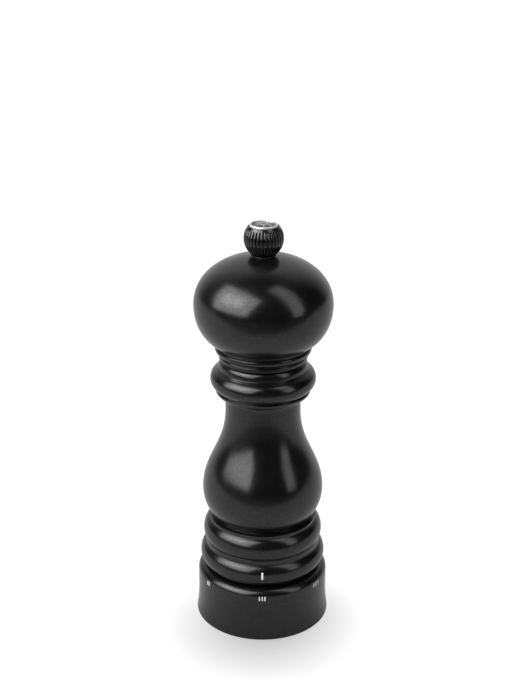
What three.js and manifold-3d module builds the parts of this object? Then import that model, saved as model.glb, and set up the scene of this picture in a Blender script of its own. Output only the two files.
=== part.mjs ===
// Table pepper mill: a turned wooden body and head, a grinding mechanism on a square shaft,
// and a ring at the foot that sets how fine it grinds. Millimetres, +Z up, origin at the
// centre of the foot. The marks on the ring face -Y at rest.
import * as THREE from "three";
import { mergeVertices } from "three/addons/utils/BufferGeometryUtils.js";
import Module from "manifold-3d";

const wasm = await Module();
wasm.setup();

// ---- Driving dimensions ---------------------------------------------------------------

const GAP = 0.3; // between pieces that touch or run in each other
const SEAM = 0.4; // open line between two turned pieces
const EDGE = 0.4; // broken corner of a turned piece
const SIDES = 32; // flats round a large turned piece
const CURVE_STEP = 4.2; // between the points along a large curve
const THROUGH = 1; // how far a cutting tool runs past a face

// Adjusting ring at the foot
const RING_HEIGHT = 24;
const RING_WALL = 3; // outside the sleeve's flange
const RING_WAIST = 0.9; // how far the side draws in above the foot
const RING_SHOULDER = 3.4;
const RING_LEDGE = 5; // thickness of the ledge that the housing flange holds up
const SETTINGS = 6;
const NOTCH_DEPTH = 0.6;
const NOTCH_R = 1.6;

// Outline of the body, from its foot up
const LOWER_BEAD_HEIGHT = 10.9;
const LOWER_BEAD_R = 27.5;
const LOWER_BEAD_ROUND = 4.3;
const LOWER_FILLET_HEIGHT = 1.6;
const LOWER_FILLET_R = 25.1;
const UPPER_BEAD_HEIGHT = 10;
const UPPER_BEAD_R = 26.1;
const UPPER_BEAD_ROUND = 4.6;
const UPPER_BEAD_CENTRE = 0.42; // share of its height where it is widest
const UPPER_BEAD_REACH = 0.62; // half height of its oval, as a share of its height
const UPPER_FILLET_HEIGHT = 1.5;
const UPPER_FILLET_R = 23.5;
const BULB_ROOT_R = 21.6;
const BULB_ROOT_FLARE = 2.4; // how steeply the bulb leaves its root
const BULB_ROOT_LIFT = 3.4;
const BULB_R = 26.3;
const BULB_RISE = 12.8; // from the bulb's root to its widest point
const BULB_TO_NECK = 37.3; // from the widest point to the narrowest
const BULB_FULLNESS = 0.45; // share of each rise over which the curve stays upright
const SHOULDER_FULLNESS = 0.37;
const NECK_FULLNESS = 0.475;
const NECK_R = 15.9;
const NECK_LENGTH = 7.1;
const NECK_FLARE = 1.2;
const OVOLO_HEIGHT = 2.1;
const OVOLO_OUT = 4.2; // how far the ovolo stands out from the neck
const COLLAR_HEIGHT = 10.2;
const COLLAR_OUT = 2.8; // how far the collar's bead stands out from its root
const COLLAR_ROOT_IN = 0.6; // how far the collar's root draws in from the ovolo
const COLLAR_ROUND = 4.4;
const CROWN_HEIGHT = 3.4; // quarter-round bead on top of the collar
const CROWN_IN = 0.7; // how far the crown draws in from the collar's root
const CROWN_ROUND = 1.7;

// Outline of the head
const HEAD_FOOT_HEIGHT = 2.1;
const HEAD_FOOT_OUT = 1.05; // how far it stands out from the body's top
const HEAD_DISC_OUT = 1.9; // how far the disc stands out from the foot
const HEAD_DISC_HEIGHT = 3.4;
const HEAD_COVE_OUT = 0.85;
const HEAD_COVE_HEIGHT = 1.7;
const HEAD_ROOT_OUT = 1.1; // how far the underside of the dome stands out from the cove
const HEAD_ROOT_FLARE = 4.6;
const HEAD_ROOT_LIFT = 2.6;
const HEAD_FULLNESS = 0.5;
const HEAD_R = 29.35;
const HEAD_RISE = 16.9; // from the underside of the dome to its widest point
const HEAD_CROWN = 21.2; // from the widest point to the top
const CROWN_FULLNESS = 0.5; // share of the crown's height held near its full width
const CROWN_SPREAD = 0.65; // share of its width held near its full height
const CROWN_SLOPE = 0.158; // at the knob

// Knob
const KNOB_R = 8.35;
const KNOB_TOP_R = 6.4;
const KNOB_NECK_WALL = 1; // outside the insert
const KNOB_FLUTES = 32;
const FLUTE_DEPTH = 0.35;
const KNOB_TRIM_INSET = 0.45; // from the edge of the knob's top to the bright ring
const KNOB_TRIM_WIDTH = 0.9;
const KNOB_TRIM_PROUD = 0.8;
const KNOB_RECESS = 0.9;
const KNOB_CAP_PROUD = 0.4; // its rim, above the knob
const KNOB_CAP_DOME = 0.4; // its middle, above its rim
const KNOB_CROWN = 4.2; // from the end of the shaft to the top of the knob
const WASHER_THICKNESS = 0.5;
const WASHER_SEAT_DEPTH = 0.6; // sunk into the top of the head
const INSERT_WALL = 0.9;

// Joint between the head and the body
const TENON_R = 14.1;
const TENON_DEPTH = 9.6;
const TENON_CLEAR = 2.2; // room under the tenon for the drive plate
const SOCKET_DEPTH = 19.6; // in the foot of the body, for the housing

// Square drive shaft and what turns with it
const SHAFT_SIDE = 5;
const THREAD_RELIEF = 0.1; // the round ends are this much inside the flats
const SHAFT_THREAD_LENGTH = 15;
const DRIVE_PLATE_INSET = 1.6; // from the tenon's edge
const DRIVE_PLATE_THICKNESS = 1.5;
const DRIVE_SCREW_PITCH_R = 8;
const BUSH_WALL = 0.65; // outside the corners of its square hole
const BUSH_FLANGE = 1.4;
const BUSH_FLANGE_THICKNESS = 1.2;
const BUSH_BELOW_BRIDGE = 1.9;
const NUT_ACROSS_FLATS = 8;
const NUT_HEIGHT = 3.2;
const ROTOR_WASHER_WIDTH = 1.2; // how far it stands out from the nut's flats
const ROTOR_WASHER_THICKNESS = 1.1;
const ROTOR_BOTTOM = 6; // height of the rotor's underside above the floor
const ROTOR_R = 11;
const ROTOR_CONE_HEIGHT = 10;
const ROTOR_CONE_TAPER = 3.6; // how much the radius shrinks up the cone
const ROTOR_SCREW_HEIGHT = 8.4; // upper part, which feeds the peppercorns down
const ROTOR_WALL = 0.35; // between the roots of the blades and the square hole
const GRINDING_TEETH = 18;
const FEED_BLADES = 6;
const TOOTH_DEPTH = 0.7;
const BLADE_DEPTH = 1.1;
const TOOTH_LEAN = 0.03; // radians per millimetre of height
const GRIND_GAP = 0.55; // between the tooth crests at setting III

// Stator, its carrier and the sleeve that lifts it
const STATOR_WALL = 3.5; // from the rotor's edge to the outside of the stator
const STATOR_HEIGHT = 11;
const STATOR_GRIND_HEIGHT = 6.2;
const STATOR_RIM = 1.5; // flat rim round the mouth
const CARRIER_WALL = 1.8;
const CARRIER_BOTTOM = 3;
const CARRIER_TOP_CLEAR = 1.2; // below the top of the housing's flange
const CARRIER_LIP = 1.5;
const CARRIER_LIP_HOLD = 2; // how far the lip reaches in under the stator
const CARRIER_KEY = 1; // how far each key stands out of the carrier
const CARRIER_KEY_WIDTH = 3;
const LIFT_DOWN = 0.5; // carrier travel from setting III to setting I
const SLEEVE_FLANGE_WIDTH = 3.7; // outside the ring's bore
const SLEEVE_FLANGE = 2.4;
const SLEEVE_BOTTOM = 2.2;
const SLEEVE_WALL = 3.6;

// Housing, bridge, screws and springs
const HOUSING_WALL = 1.3;
const HOUSING_LEDGE_WIDTH = 2;
const HOUSING_FLANGE_WIDTH = 4; // outside the body's socket
const HOUSING_FLANGE_HEIGHT = 5.9;
const HOUSING_FLANGE_CLEAR = 0.8;
const HOUSING_LEDGE_RISE = 10.7; // from the flange's underside to the spring's ledge
const HOUSING_TOP_FLANGE = 2.5;
const BRIDGE_SEAT = 3.9; // width of the top flange that the bridge is screwed to
const BRIDGE_THICKNESS = 1.5;
const BRIDGE_HUB_WALL = 1.7;
const BRIDGE_ARM_WIDTH = 5;
const SCREW_R = 1.1;
const SCREW_HEAD_R = 1.8;
const SCREW_HEAD_HEIGHT = 0.9;
const SCREW_SLOT_WIDTH = 0.5;
const SCREW_BITE = 5.5; // how far a screw goes into the wood
const SCREW_TIP_CLEAR = 0.5; // left empty beyond its tip
const DETENT_R = 1;
const DETENT_LENGTH = 2.1;
const DETENT_POCKET_FLOOR = 1.3;
const WIRE_R = 0.45;

// ---- Radii worked out from them, from the shaft outwards -------------------------------

const shaftCorner = SHAFT_SIDE / Math.SQRT2;
const shaftThreadR = SHAFT_SIDE / 2 - THREAD_RELIEF;
const squareHole = SHAFT_SIDE + 2 * GAP;
const squareHoleCorner = squareHole / Math.SQRT2;
const insertR = shaftThreadR + GAP + INSERT_WALL;
const knobNeckR = insertR + GAP + KNOB_NECK_WALL;
const washerSeatR = knobNeckR + GAP;
const knobTrimR = KNOB_TOP_R - KNOB_TRIM_INSET;
const bushR = squareHoleCorner + BUSH_WALL;
const bridgeHubR = bushR + BRIDGE_HUB_WALL;
const rotorTopR = squareHoleCorner + ROTOR_WALL + BLADE_DEPTH;
const rotorConeTopR = ROTOR_R - ROTOR_CONE_TAPER;
const statorR = ROTOR_R + STATOR_WALL;
const statorMouthR = statorR - STATOR_RIM;
const carrierLipR = statorR - CARRIER_LIP_HOLD;
const carrierR = statorR + GAP + CARRIER_WALL;
const carrierBoreR = carrierR + GAP; // of the housing and the sleeve, round the carrier
const housingWallR = carrierBoreR - HOUSING_LEDGE_WIDTH;
const housingR = carrierBoreR + HOUSING_WALL;
const pepperBoreR = housingWallR - BRIDGE_SEAT;
const bridgeScrewR = (housingWallR + pepperBoreR) / 2;
const springR = (housingWallR + carrierBoreR) / 2;
const socketR = housingR + GAP;
const ringBoreR = socketR + HOUSING_FLANGE_WIDTH;
const detentPitchR = (socketR + ringBoreR) / 2;
const sleeveWallR = carrierBoreR + SLEEVE_WALL;
const sleeveFlangeR = ringBoreR + SLEEVE_FLANGE_WIDTH;
const sleeveScrewR = (ringBoreR + sleeveFlangeR) / 2;
const ringFootR = sleeveFlangeR + GAP + RING_WALL;
const ringWaistR = ringFootR - RING_WAIST;
const drivePlateR = TENON_R - DRIVE_PLATE_INSET;

const ovoloR = NECK_R + OVOLO_OUT;
const collarRootR = ovoloR - COLLAR_ROOT_IN;
const collarR = collarRootR + COLLAR_OUT;
const crownR = collarRootR - CROWN_IN;
const bodyTopR = crownR - CROWN_ROUND + EDGE;
const headFootR = bodyTopR + HEAD_FOOT_OUT;
const headDiscR = headFootR + HEAD_DISC_OUT;
const headCoveR = headFootR + HEAD_COVE_OUT;
const headRootR = headCoveR + HEAD_ROOT_OUT;

// ---- Heights worked out from them -----------------------------------------------------

const bodyFoot = RING_HEIGHT + SEAM;
const lowerBeadTop = bodyFoot + LOWER_BEAD_HEIGHT;
const lowerFilletTop = lowerBeadTop + LOWER_FILLET_HEIGHT;
const upperBeadTop = lowerFilletTop + UPPER_BEAD_HEIGHT;
const bulbRoot = upperBeadTop + UPPER_FILLET_HEIGHT;
const bulbWidest = bulbRoot + BULB_RISE;
const neckBottom = bulbWidest + BULB_TO_NECK;
const neckTop = neckBottom + NECK_LENGTH;
const ovoloTop = neckTop + OVOLO_HEIGHT;
const collarTop = ovoloTop + COLLAR_HEIGHT;
const bodyTop = collarTop + CROWN_HEIGHT;

const headFoot = bodyTop + SEAM;
const headFootTop = headFoot + HEAD_FOOT_HEIGHT;
const headDiscTop = headFootTop + HEAD_DISC_HEIGHT;
const headRoot = headDiscTop + HEAD_COVE_HEIGHT;
const headWidest = headRoot + HEAD_RISE;
const headTop = headWidest + HEAD_CROWN;

const washerSeat = headTop - WASHER_SEAT_DEPTH;
const washerTop = washerSeat + GAP + WASHER_THICKNESS;
const knobBottom = washerTop + GAP;
const knobCentre = knobBottom + Math.sqrt(KNOB_R ** 2 - knobNeckR ** 2);
const knobTop = knobCentre + Math.sqrt(KNOB_R ** 2 - KNOB_TOP_R ** 2);
const knobRecess = knobTop - KNOB_RECESS;
const shaftTop = knobTop - KNOB_CROWN;
const shaftSquareTop = shaftTop - SHAFT_THREAD_LENGTH;

const socketTop = bodyFoot + SOCKET_DEPTH;
const tenonBottom = headFoot - TENON_DEPTH;
const counterboreFloor = tenonBottom - TENON_CLEAR;
const drivePlateTop = tenonBottom - GAP;
const drivePlateBottom = drivePlateTop - DRIVE_PLATE_THICKNESS;

const ringLedgeBottom = RING_HEIGHT - RING_LEDGE;
const flangeTop = ringLedgeBottom - HOUSING_FLANGE_CLEAR;
const flangeBottom = flangeTop - HOUSING_FLANGE_HEIGHT;
const housingLedge = flangeBottom + HOUSING_LEDGE_RISE;
const housingTop = socketTop - GAP;
const housingTopFlange = housingTop - HOUSING_TOP_FLANGE;
const bridgeTop = housingTopFlange - GAP;
const bridgeBottom = bridgeTop - BRIDGE_THICKNESS;
const bushBottom = bridgeBottom - BUSH_BELOW_BRIDGE;
const bushTop = bridgeTop + GAP + BUSH_FLANGE_THICKNESS;
const detentPocketFloor = flangeBottom + DETENT_POCKET_FLOOR;

const sleeveFlangeTop = SLEEVE_BOTTOM + SLEEVE_FLANGE;
const sleeveTop = flangeBottom - GAP;
const carrierTop = flangeTop - CARRIER_TOP_CLEAR;
const keyBottom = sleeveTop + GAP + LIFT_DOWN;
const statorBottom = CARRIER_BOTTOM + CARRIER_LIP + GAP;
const statorGrindTop = statorBottom + STATOR_GRIND_HEIGHT;
const statorTop = statorBottom + STATOR_HEIGHT;
const rotorConeTop = ROTOR_BOTTOM + ROTOR_CONE_HEIGHT;
const rotorTop = rotorConeTop + ROTOR_SCREW_HEIGHT;
const rotorWasherBottom = ROTOR_BOTTOM - GAP - ROTOR_WASHER_THICKNESS;
const nutBottom = rotorWasherBottom - GAP - NUT_HEIGHT;

// ---- Materials ------------------------------------------------------------------------

function finish(color, roughness, metalness) {
  return () => new THREE.MeshStandardMaterial({ color, roughness, metalness });
}
const blackLacquer = finish(0x17181a, 0.3, 0);
const blackMoulding = finish(0x141416, 0.25, 0);
const bareSteel = finish(0x8d9196, 0.35, 1);
const hardenedSteel = finish(0x55585c, 0.4, 1);
const aluminium = finish(0xb9bcc0, 0.3, 1);
const brass = finish(0xb5924c, 0.35, 1);
const brightTrim = finish(0xd5d7da, 0.2, 1);
const nylon = finish(0xd9d5c8, 0.5, 0);
const darkNylon = finish(0x2b2c2e, 0.55, 0);
const springSteel = finish(0x9a9da1, 0.3, 1);

// ---- Geometry helpers -----------------------------------------------------------------

// A closed geometry as a solid that can be cut and joined.
function solidOf(geometry) {
  geometry.deleteAttribute("normal");
  geometry.deleteAttribute("uv");
  const merged = mergeVertices(geometry, 1e-4);
  const mesh = new wasm.Mesh({
    numProp: 3,
    vertProperties: new Float32Array(merged.attributes.position.array),
    triVerts: new Uint32Array(merged.index.array),
  });
  return new wasm.Manifold(mesh);
}

function cut(solid, ...tools) {
  return tools.reduce((rest, tool) => rest.subtract(tool), solid);
}

function join(solid, ...others) {
  return others.reduce((sum, other) => sum.add(other), solid);
}

// A closed outline of radius and height: r across, z up, outside going up.
class Outline extends THREE.Path {
  arc(centreR, centreZ, radiusR, radiusZ, fromDegrees, toDegrees) {
    const from = THREE.MathUtils.degToRad(fromDegrees);
    const to = THREE.MathUtils.degToRad(toDegrees);
    return this.absellipse(centreR, centreZ, radiusR, radiusZ, from, to, to < from);
  }

  // Straight runs keep their ends, and curves get a point about every step.
  trace(step) {
    this.closePath();
    const points = this.curves.flatMap((curve) => {
      const pieces = curve.isLineCurve ? 1 : Math.max(3, Math.ceil(curve.getLength() / step));
      return curve.getPoints(pieces).slice(0, -1);
    });
    return [...points, points[0]];
  }
}

function outline(r, z) {
  const path = new Outline();
  path.moveTo(r, z);
  return path;
}

function latheGeometry(path, sides = SIDES, step = CURVE_STEP) {
  return new THREE.LatheGeometry(path.trace(step), sides).rotateX(Math.PI / 2);
}

function turned(path, sides, step) {
  return solidOf(latheGeometry(path, sides, step));
}

function tube(outerR, innerR, bottom, top, sides = SIDES) {
  const path = outline(innerR, bottom);
  path.lineTo(outerR, bottom);
  path.lineTo(outerR, top);
  path.lineTo(innerR, top);
  return turned(path, sides);
}

function rod(r, bottom, top, x = 0, y = 0, sides = 16) {
  const geometry = new THREE.CylinderGeometry(r, r, top - bottom, sides);
  geometry.rotateX(Math.PI / 2).translate(x, y, (bottom + top) / 2);
  return solidOf(geometry);
}

function block(width, depth, bottom, top, x = 0, y = 0) {
  const geometry = new THREE.BoxGeometry(width, depth, top - bottom);
  return solidOf(geometry.translate(x, y, (bottom + top) / 2));
}

// Points evenly round a circle, the first at startDegrees.
function around(count, r, startDegrees) {
  return Array.from({ length: count }, (_, i) => {
    const angle = THREE.MathUtils.degToRad(startDegrees) + (i * 2 * Math.PI) / count;
    return { x: r * Math.cos(angle), y: r * Math.sin(angle), angle };
  });
}

class Helix extends THREE.Curve {
  constructor(r, bottom, top, turns) {
    super();
    Object.assign(this, { r, bottom, top, turns });
  }

  getPoint(t, target = new THREE.Vector3()) {
    const angle = t * this.turns * 2 * Math.PI;
    const z = this.bottom + t * (this.top - this.bottom);
    return target.set(this.r * Math.cos(angle), this.r * Math.sin(angle), z);
  }
}

function coilSpring(meanR, wireR, bottom, top, turns, x = 0, y = 0) {
  const extrudePath = new Helix(meanR, bottom + wireR, top - wireR, turns);
  const section = new THREE.Shape().absarc(0, 0, wireR, 0, 2 * Math.PI);
  const settings = { steps: turns * 12, curveSegments: 3, bevelEnabled: false, extrudePath };
  return solidOf(new THREE.ExtrudeGeometry(section, settings).translate(x, y, 0));
}

// A slotted screw driven upwards: its head hangs below the face it holds, clear of it.
function screwUp({ x, y }, faceZ, woodZ) {
  const headTop = faceZ - GAP;
  const headBottom = headTop - SCREW_HEAD_HEIGHT;
  const middle = (headBottom + headTop) / 2;
  const shank = rod(SCREW_R, middle, woodZ + SCREW_BITE, x, y, 8);
  const head = rod(SCREW_HEAD_R, headBottom, headTop, x, y, 12);
  const slot = block(3 * SCREW_HEAD_R, SCREW_SLOT_WIDTH, headBottom - THROUGH, middle, x, y);
  return cut(join(shank, head), slot);
}

// Hole through a piece, with room round the screw.
function screwHole({ x, y }, bottom, top) {
  return rod(SCREW_R + GAP, bottom - THROUGH, top + THROUGH, x, y, 8);
}

// Blind hole in the wood, a little deeper than the screw.
function screwPocket({ x, y }, woodZ) {
  const top = woodZ + SCREW_BITE + SCREW_TIP_CLEAR;
  return rod(SCREW_R + GAP, woodZ - THROUGH, top, x, y, 8);
}

// Pulls every vertex inwards (or outwards) by a saw-tooth that leans as it rises.
function cutTeeth(geometry, teeth, depthAt) {
  const position = geometry.getAttribute("position");
  for (let i = 0; i < position.count; i += 1) {
    const x = position.getX(i);
    const y = position.getY(i);
    const z = position.getZ(i);
    const r = Math.hypot(x, y);
    const turn = (Math.atan2(y, x) / (2 * Math.PI) + 1) * teeth(z);
    const phase = Math.round((turn % 1) * 1e4) / 1e4;
    const moved = r + depthAt(r, z) * (phase % 1);
    const scale = r > 0 ? moved / r : 1;
    position.setXYZ(i, x * scale, y * scale, z);
  }
  return geometry;
}

// Turns each level of a geometry about Z in step with its height.
function lean(geometry, radiansPerMillimetre, baseZ) {
  const position = geometry.getAttribute("position");
  const point = new THREE.Vector3();
  for (let i = 0; i < position.count; i += 1) {
    point.fromBufferAttribute(position, i);
    const angle = (point.z - baseZ) * radiansPerMillimetre;
    const x = point.x * Math.cos(angle) - point.y * Math.sin(angle);
    const y = point.x * Math.sin(angle) + point.y * Math.cos(angle);
    position.setXYZ(i, x, y, point.z);
  }
  return geometry;
}

const bridgeScrewPoints = around(2, bridgeScrewR, 0);
const driveScrewPoints = around(2, DRIVE_SCREW_PITCH_R, 90);
const sleeveScrewPoints = around(3, sleeveScrewR, 30);
const detentPoint = around(1, detentPitchR, -90)[0];

// ---- Turned wooden pieces -------------------------------------------------------------

function body() {
  const path = outline(socketR, bodyFoot);
  const lowerCentreR = LOWER_BEAD_R - LOWER_BEAD_ROUND;
  const lowerHalf = LOWER_BEAD_HEIGHT / 2;
  path.lineTo(lowerCentreR, bodyFoot);
  path.arc(lowerCentreR, bodyFoot + lowerHalf, LOWER_BEAD_ROUND, lowerHalf, -80, 62);
  path.lineTo(LOWER_FILLET_R, lowerBeadTop);
  path.lineTo(LOWER_FILLET_R, lowerFilletTop);
  const upperCentreR = UPPER_BEAD_R - UPPER_BEAD_ROUND;
  const upperCentreZ = lowerFilletTop + UPPER_BEAD_CENTRE * UPPER_BEAD_HEIGHT;
  const upperHalf = UPPER_BEAD_REACH * UPPER_BEAD_HEIGHT;
  path.arc(upperCentreR, upperCentreZ, UPPER_BEAD_ROUND, upperHalf, -41, 64);
  path.lineTo(UPPER_FILLET_R, upperBeadTop);
  path.lineTo(UPPER_FILLET_R, bulbRoot - EDGE);
  path.lineTo(BULB_ROOT_R, bulbRoot);
  path.bezierCurveTo(
    BULB_ROOT_R + BULB_ROOT_FLARE,
    bulbRoot + BULB_ROOT_LIFT,
    BULB_R,
    bulbWidest - BULB_FULLNESS * BULB_RISE,
    BULB_R,
    bulbWidest,
  );
  path.bezierCurveTo(
    BULB_R,
    bulbWidest + SHOULDER_FULLNESS * BULB_TO_NECK,
    NECK_R,
    neckBottom - NECK_FULLNESS * BULB_TO_NECK,
    NECK_R,
    neckBottom,
  );
  const flaredR = NECK_R + NECK_FLARE;
  path.lineTo(NECK_R, neckTop - NECK_FLARE);
  path.quadraticCurveTo(NECK_R, neckTop, flaredR, neckTop);
  path.arc(flaredR, ovoloTop, ovoloR - flaredR, OVOLO_HEIGHT, -90, 0);
  path.lineTo(collarRootR, ovoloTop + EDGE);
  const collarHalf = COLLAR_HEIGHT / 2;
  path.arc(collarR - COLLAR_ROUND, ovoloTop + collarHalf, COLLAR_ROUND, collarHalf - EDGE, -62, 62);
  path.lineTo(crownR, collarTop);
  path.lineTo(crownR, collarTop + EDGE);
  path.arc(crownR - CROWN_ROUND, collarTop + EDGE, CROWN_ROUND, CROWN_HEIGHT - EDGE, 0, 75);
  path.lineTo(bodyTopR - EDGE, bodyTop);
  path.lineTo(TENON_R + GAP, bodyTop);
  path.lineTo(TENON_R + GAP, counterboreFloor);
  path.lineTo(pepperBoreR, counterboreFloor);
  path.lineTo(pepperBoreR, socketTop);
  path.lineTo(socketR, socketTop);
  return cut(turned(path), ...bridgeScrewPoints.map((p) => screwPocket(p, socketTop)));
}

function head() {
  const path = outline(0, tenonBottom);
  path.lineTo(TENON_R, tenonBottom);
  path.lineTo(TENON_R, headFoot);
  path.lineTo(headFootR - EDGE, headFoot);
  path.lineTo(headFootR, headFoot + EDGE);
  path.lineTo(headFootR, headFootTop - EDGE);
  path.lineTo(headFootR - EDGE, headFootTop);
  const discMiddle = (headFootTop + headDiscTop) / 2;
  path.quadraticCurveTo(headDiscR + EDGE, discMiddle, headDiscR - EDGE, headDiscTop);
  path.lineTo(headCoveR, headDiscTop + EDGE);
  path.lineTo(headCoveR, headRoot - EDGE);
  path.lineTo(headRootR, headRoot);
  path.bezierCurveTo(
    headRootR + HEAD_ROOT_FLARE,
    headRoot + HEAD_ROOT_LIFT,
    HEAD_R,
    headWidest - HEAD_FULLNESS * HEAD_RISE,
    HEAD_R,
    headWidest,
  );
  const spread = CROWN_SPREAD * (HEAD_R - washerSeatR);
  path.bezierCurveTo(
    HEAD_R,
    headWidest + CROWN_FULLNESS * HEAD_CROWN,
    washerSeatR + spread,
    headTop - CROWN_SLOPE * spread,
    washerSeatR,
    headTop,
  );
  path.lineTo(washerSeatR, washerSeat);
  path.lineTo(0, washerSeat);
  const shaftHoleTop = shaftSquareTop + THROUGH;
  const shaftHole = rod(shaftCorner + GAP, tenonBottom - THROUGH, shaftHoleTop, 0, 0, 24);
  const threadHole = rod(shaftThreadR + GAP, shaftSquareTop, headTop + THROUGH, 0, 0, 24);
  const pockets = driveScrewPoints.map((p) => screwPocket(p, tenonBottom));
  return cut(turned(path), shaftHole, threadHole, ...pockets);
}

function adjusterRing() {
  const path = outline(sleeveFlangeR + GAP, 0);
  path.lineTo(ringFootR - EDGE, 0);
  path.lineTo(ringFootR, EDGE);
  path.quadraticCurveTo(ringWaistR, RING_HEIGHT / 4, ringWaistR, RING_HEIGHT / 2);
  const shoulderR = ringWaistR - RING_SHOULDER;
  path.arc(shoulderR, RING_HEIGHT - RING_SHOULDER, RING_SHOULDER, RING_SHOULDER, 0, 90);
  path.lineTo(socketR, RING_HEIGHT);
  path.lineTo(socketR, ringLedgeBottom);
  path.lineTo(ringBoreR, ringLedgeBottom);
  path.lineTo(ringBoreR, sleeveFlangeTop + GAP);
  path.lineTo(sleeveFlangeR + GAP, sleeveFlangeTop + GAP);
  const pockets = sleeveScrewPoints.map((p) => screwPocket(p, sleeveFlangeTop + GAP));
  const length = HOUSING_FLANGE_WIDTH - EDGE;
  const notches = around(SETTINGS, detentPitchR, -90).map(({ x, y, angle }) => {
    const groove = new THREE.CylinderGeometry(NOTCH_R, NOTCH_R, length, 12);
    groove.rotateZ(Math.PI / 2 + angle);
    return solidOf(groove.translate(x, y, ringLedgeBottom - NOTCH_R + NOTCH_DEPTH));
  });
  return cut(turned(path), ...pockets, ...notches);
}

// ---- Knob -----------------------------------------------------------------------------

function knob() {
  const path = outline(0, knobBottom);
  const neckAngle = -THREE.MathUtils.radToDeg(Math.acos(knobNeckR / KNOB_R));
  const topAngle = THREE.MathUtils.radToDeg(Math.acos(KNOB_TOP_R / KNOB_R));
  path.lineTo(knobNeckR, knobBottom);
  path.arc(0, knobCentre, KNOB_R, KNOB_R, neckAngle, topAngle);
  path.lineTo(knobTrimR + GAP, knobTop);
  path.lineTo(knobTrimR + GAP, knobRecess);
  path.lineTo(0, knobRecess);
  const fluteBottom = knobBottom + EDGE;
  const isBall = (z) => z > fluteBottom && z < knobTop - EDGE;
  const fluted = (r, z) => (isBall(z) ? -2 * FLUTE_DEPTH : 0);
  const blank = latheGeometry(path, 2 * KNOB_FLUTES, CURVE_STEP / 2);
  const ball = solidOf(cutTeeth(blank, () => KNOB_FLUTES, fluted));
  return cut(ball, rod(insertR + GAP, knobBottom - THROUGH, shaftTop + GAP, 0, 0, 24));
}

// Bright ring round the top of the knob, its upper side rounded.
function knobTrimRing() {
  const half = KNOB_TRIM_WIDTH / 2;
  const path = outline(knobTrimR - KNOB_TRIM_WIDTH, knobRecess + GAP);
  path.lineTo(knobTrimR, knobRecess + GAP);
  path.arc(knobTrimR - half, knobTop + KNOB_TRIM_PROUD - half, half, half, 0, 180);
  return turned(path, 48, half);
}

// A low dome inside the trim ring.
function knobCap() {
  const r = knobTrimR - KNOB_TRIM_WIDTH - GAP;
  const path = outline(0, knobRecess + GAP);
  path.lineTo(r, knobRecess + GAP);
  const rim = knobTop + KNOB_CAP_PROUD;
  path.lineTo(r, rim);
  path.quadraticCurveTo(r / 2, rim + KNOB_CAP_DOME, 0, rim + KNOB_CAP_DOME);
  return turned(path);
}

function knobWasher() {
  return tube(knobNeckR, shaftThreadR + GAP, washerSeat + GAP, washerTop);
}

function knobInsert() {
  return tube(insertR, shaftThreadR + GAP, knobBottom + GAP, shaftTop, 24);
}

// ---- What turns with the shaft --------------------------------------------------------

// Square bar with a round thread for the knob on top and a round stub for the nut below.
function driveShaft() {
  const bar = block(SHAFT_SIDE, SHAFT_SIDE, ROTOR_BOTTOM, shaftSquareTop);
  const thread = rod(shaftThreadR, shaftSquareTop - THROUGH, shaftTop, 0, 0, 24);
  const stub = rod(shaftThreadR, nutBottom - GAP, ROTOR_BOTTOM + THROUGH, 0, 0, 20);
  return join(bar, thread, stub);
}

function squareCut(bottom, top) {
  return block(squareHole, squareHole, bottom - THROUGH, top + THROUGH);
}

function drivePlate() {
  const disc = rod(drivePlateR, drivePlateBottom, drivePlateTop, 0, 0, SIDES);
  const holes = driveScrewPoints.map((p) => screwHole(p, drivePlateBottom, drivePlateTop));
  return cut(disc, squareCut(drivePlateBottom, drivePlateTop), ...holes);
}

function shaftBush() {
  const sleeve = rod(bushR, bushBottom, bushTop, 0, 0, 28);
  const flange = rod(bushR + BUSH_FLANGE, bridgeTop + GAP, bushTop, 0, 0, 28);
  return cut(join(sleeve, flange), squareCut(bushBottom, bushTop));
}

function pressureSpring() {
  return coilSpring(bushR, WIRE_R, rotorTop + GAP, bushBottom - GAP, 4);
}

// Hardened cone: fine teeth below, steeper feeding blades above.
function grindingRotor() {
  const path = outline(0, ROTOR_BOTTOM);
  path.lineTo(ROTOR_R - EDGE, ROTOR_BOTTOM);
  for (const share of [0, 0.25, 0.5, 0.75, 1]) {
    const r = THREE.MathUtils.lerp(ROTOR_R, rotorConeTopR, share);
    path.lineTo(r, ROTOR_BOTTOM + EDGE + share * (ROTOR_CONE_HEIGHT - EDGE));
  }
  for (const share of [0, 0.25, 0.5, 0.75, 1]) {
    const r = THREE.MathUtils.lerp(rotorConeTopR - EDGE, rotorTopR, share);
    path.lineTo(r, rotorConeTop + EDGE + share * (ROTOR_SCREW_HEIGHT - EDGE));
  }
  path.lineTo(0, rotorTop);
  const isCone = (z) => z < rotorConeTop + EDGE / 2;
  const teeth = (z) => (isCone(z) ? GRINDING_TEETH : FEED_BLADES);
  const depth = (r, z) => (r === 0 ? 0 : -(isCone(z) ? TOOTH_DEPTH : BLADE_DEPTH));
  const blank = latheGeometry(path, 3 * GRINDING_TEETH);
  const toothed = lean(cutTeeth(blank, teeth, depth), TOOTH_LEAN, ROTOR_BOTTOM);
  return cut(solidOf(toothed), squareCut(ROTOR_BOTTOM, rotorTop));
}

function rotorWasher() {
  const outerR = NUT_ACROSS_FLATS / 2 + ROTOR_WASHER_WIDTH;
  return tube(outerR, shaftThreadR + GAP, rotorWasherBottom, ROTOR_BOTTOM - GAP, 28);
}

function rotorNut() {
  const corner = NUT_ACROSS_FLATS / Math.sqrt(3);
  const nutTop = nutBottom + NUT_HEIGHT;
  const hex = rod(corner, nutBottom, nutTop, 0, 0, 6);
  return cut(hex, rod(shaftThreadR + GAP, nutBottom - THROUGH, nutTop + THROUGH, 0, 0, 20));
}

// ---- Stator, carrier and lifting sleeve -----------------------------------------------

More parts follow.
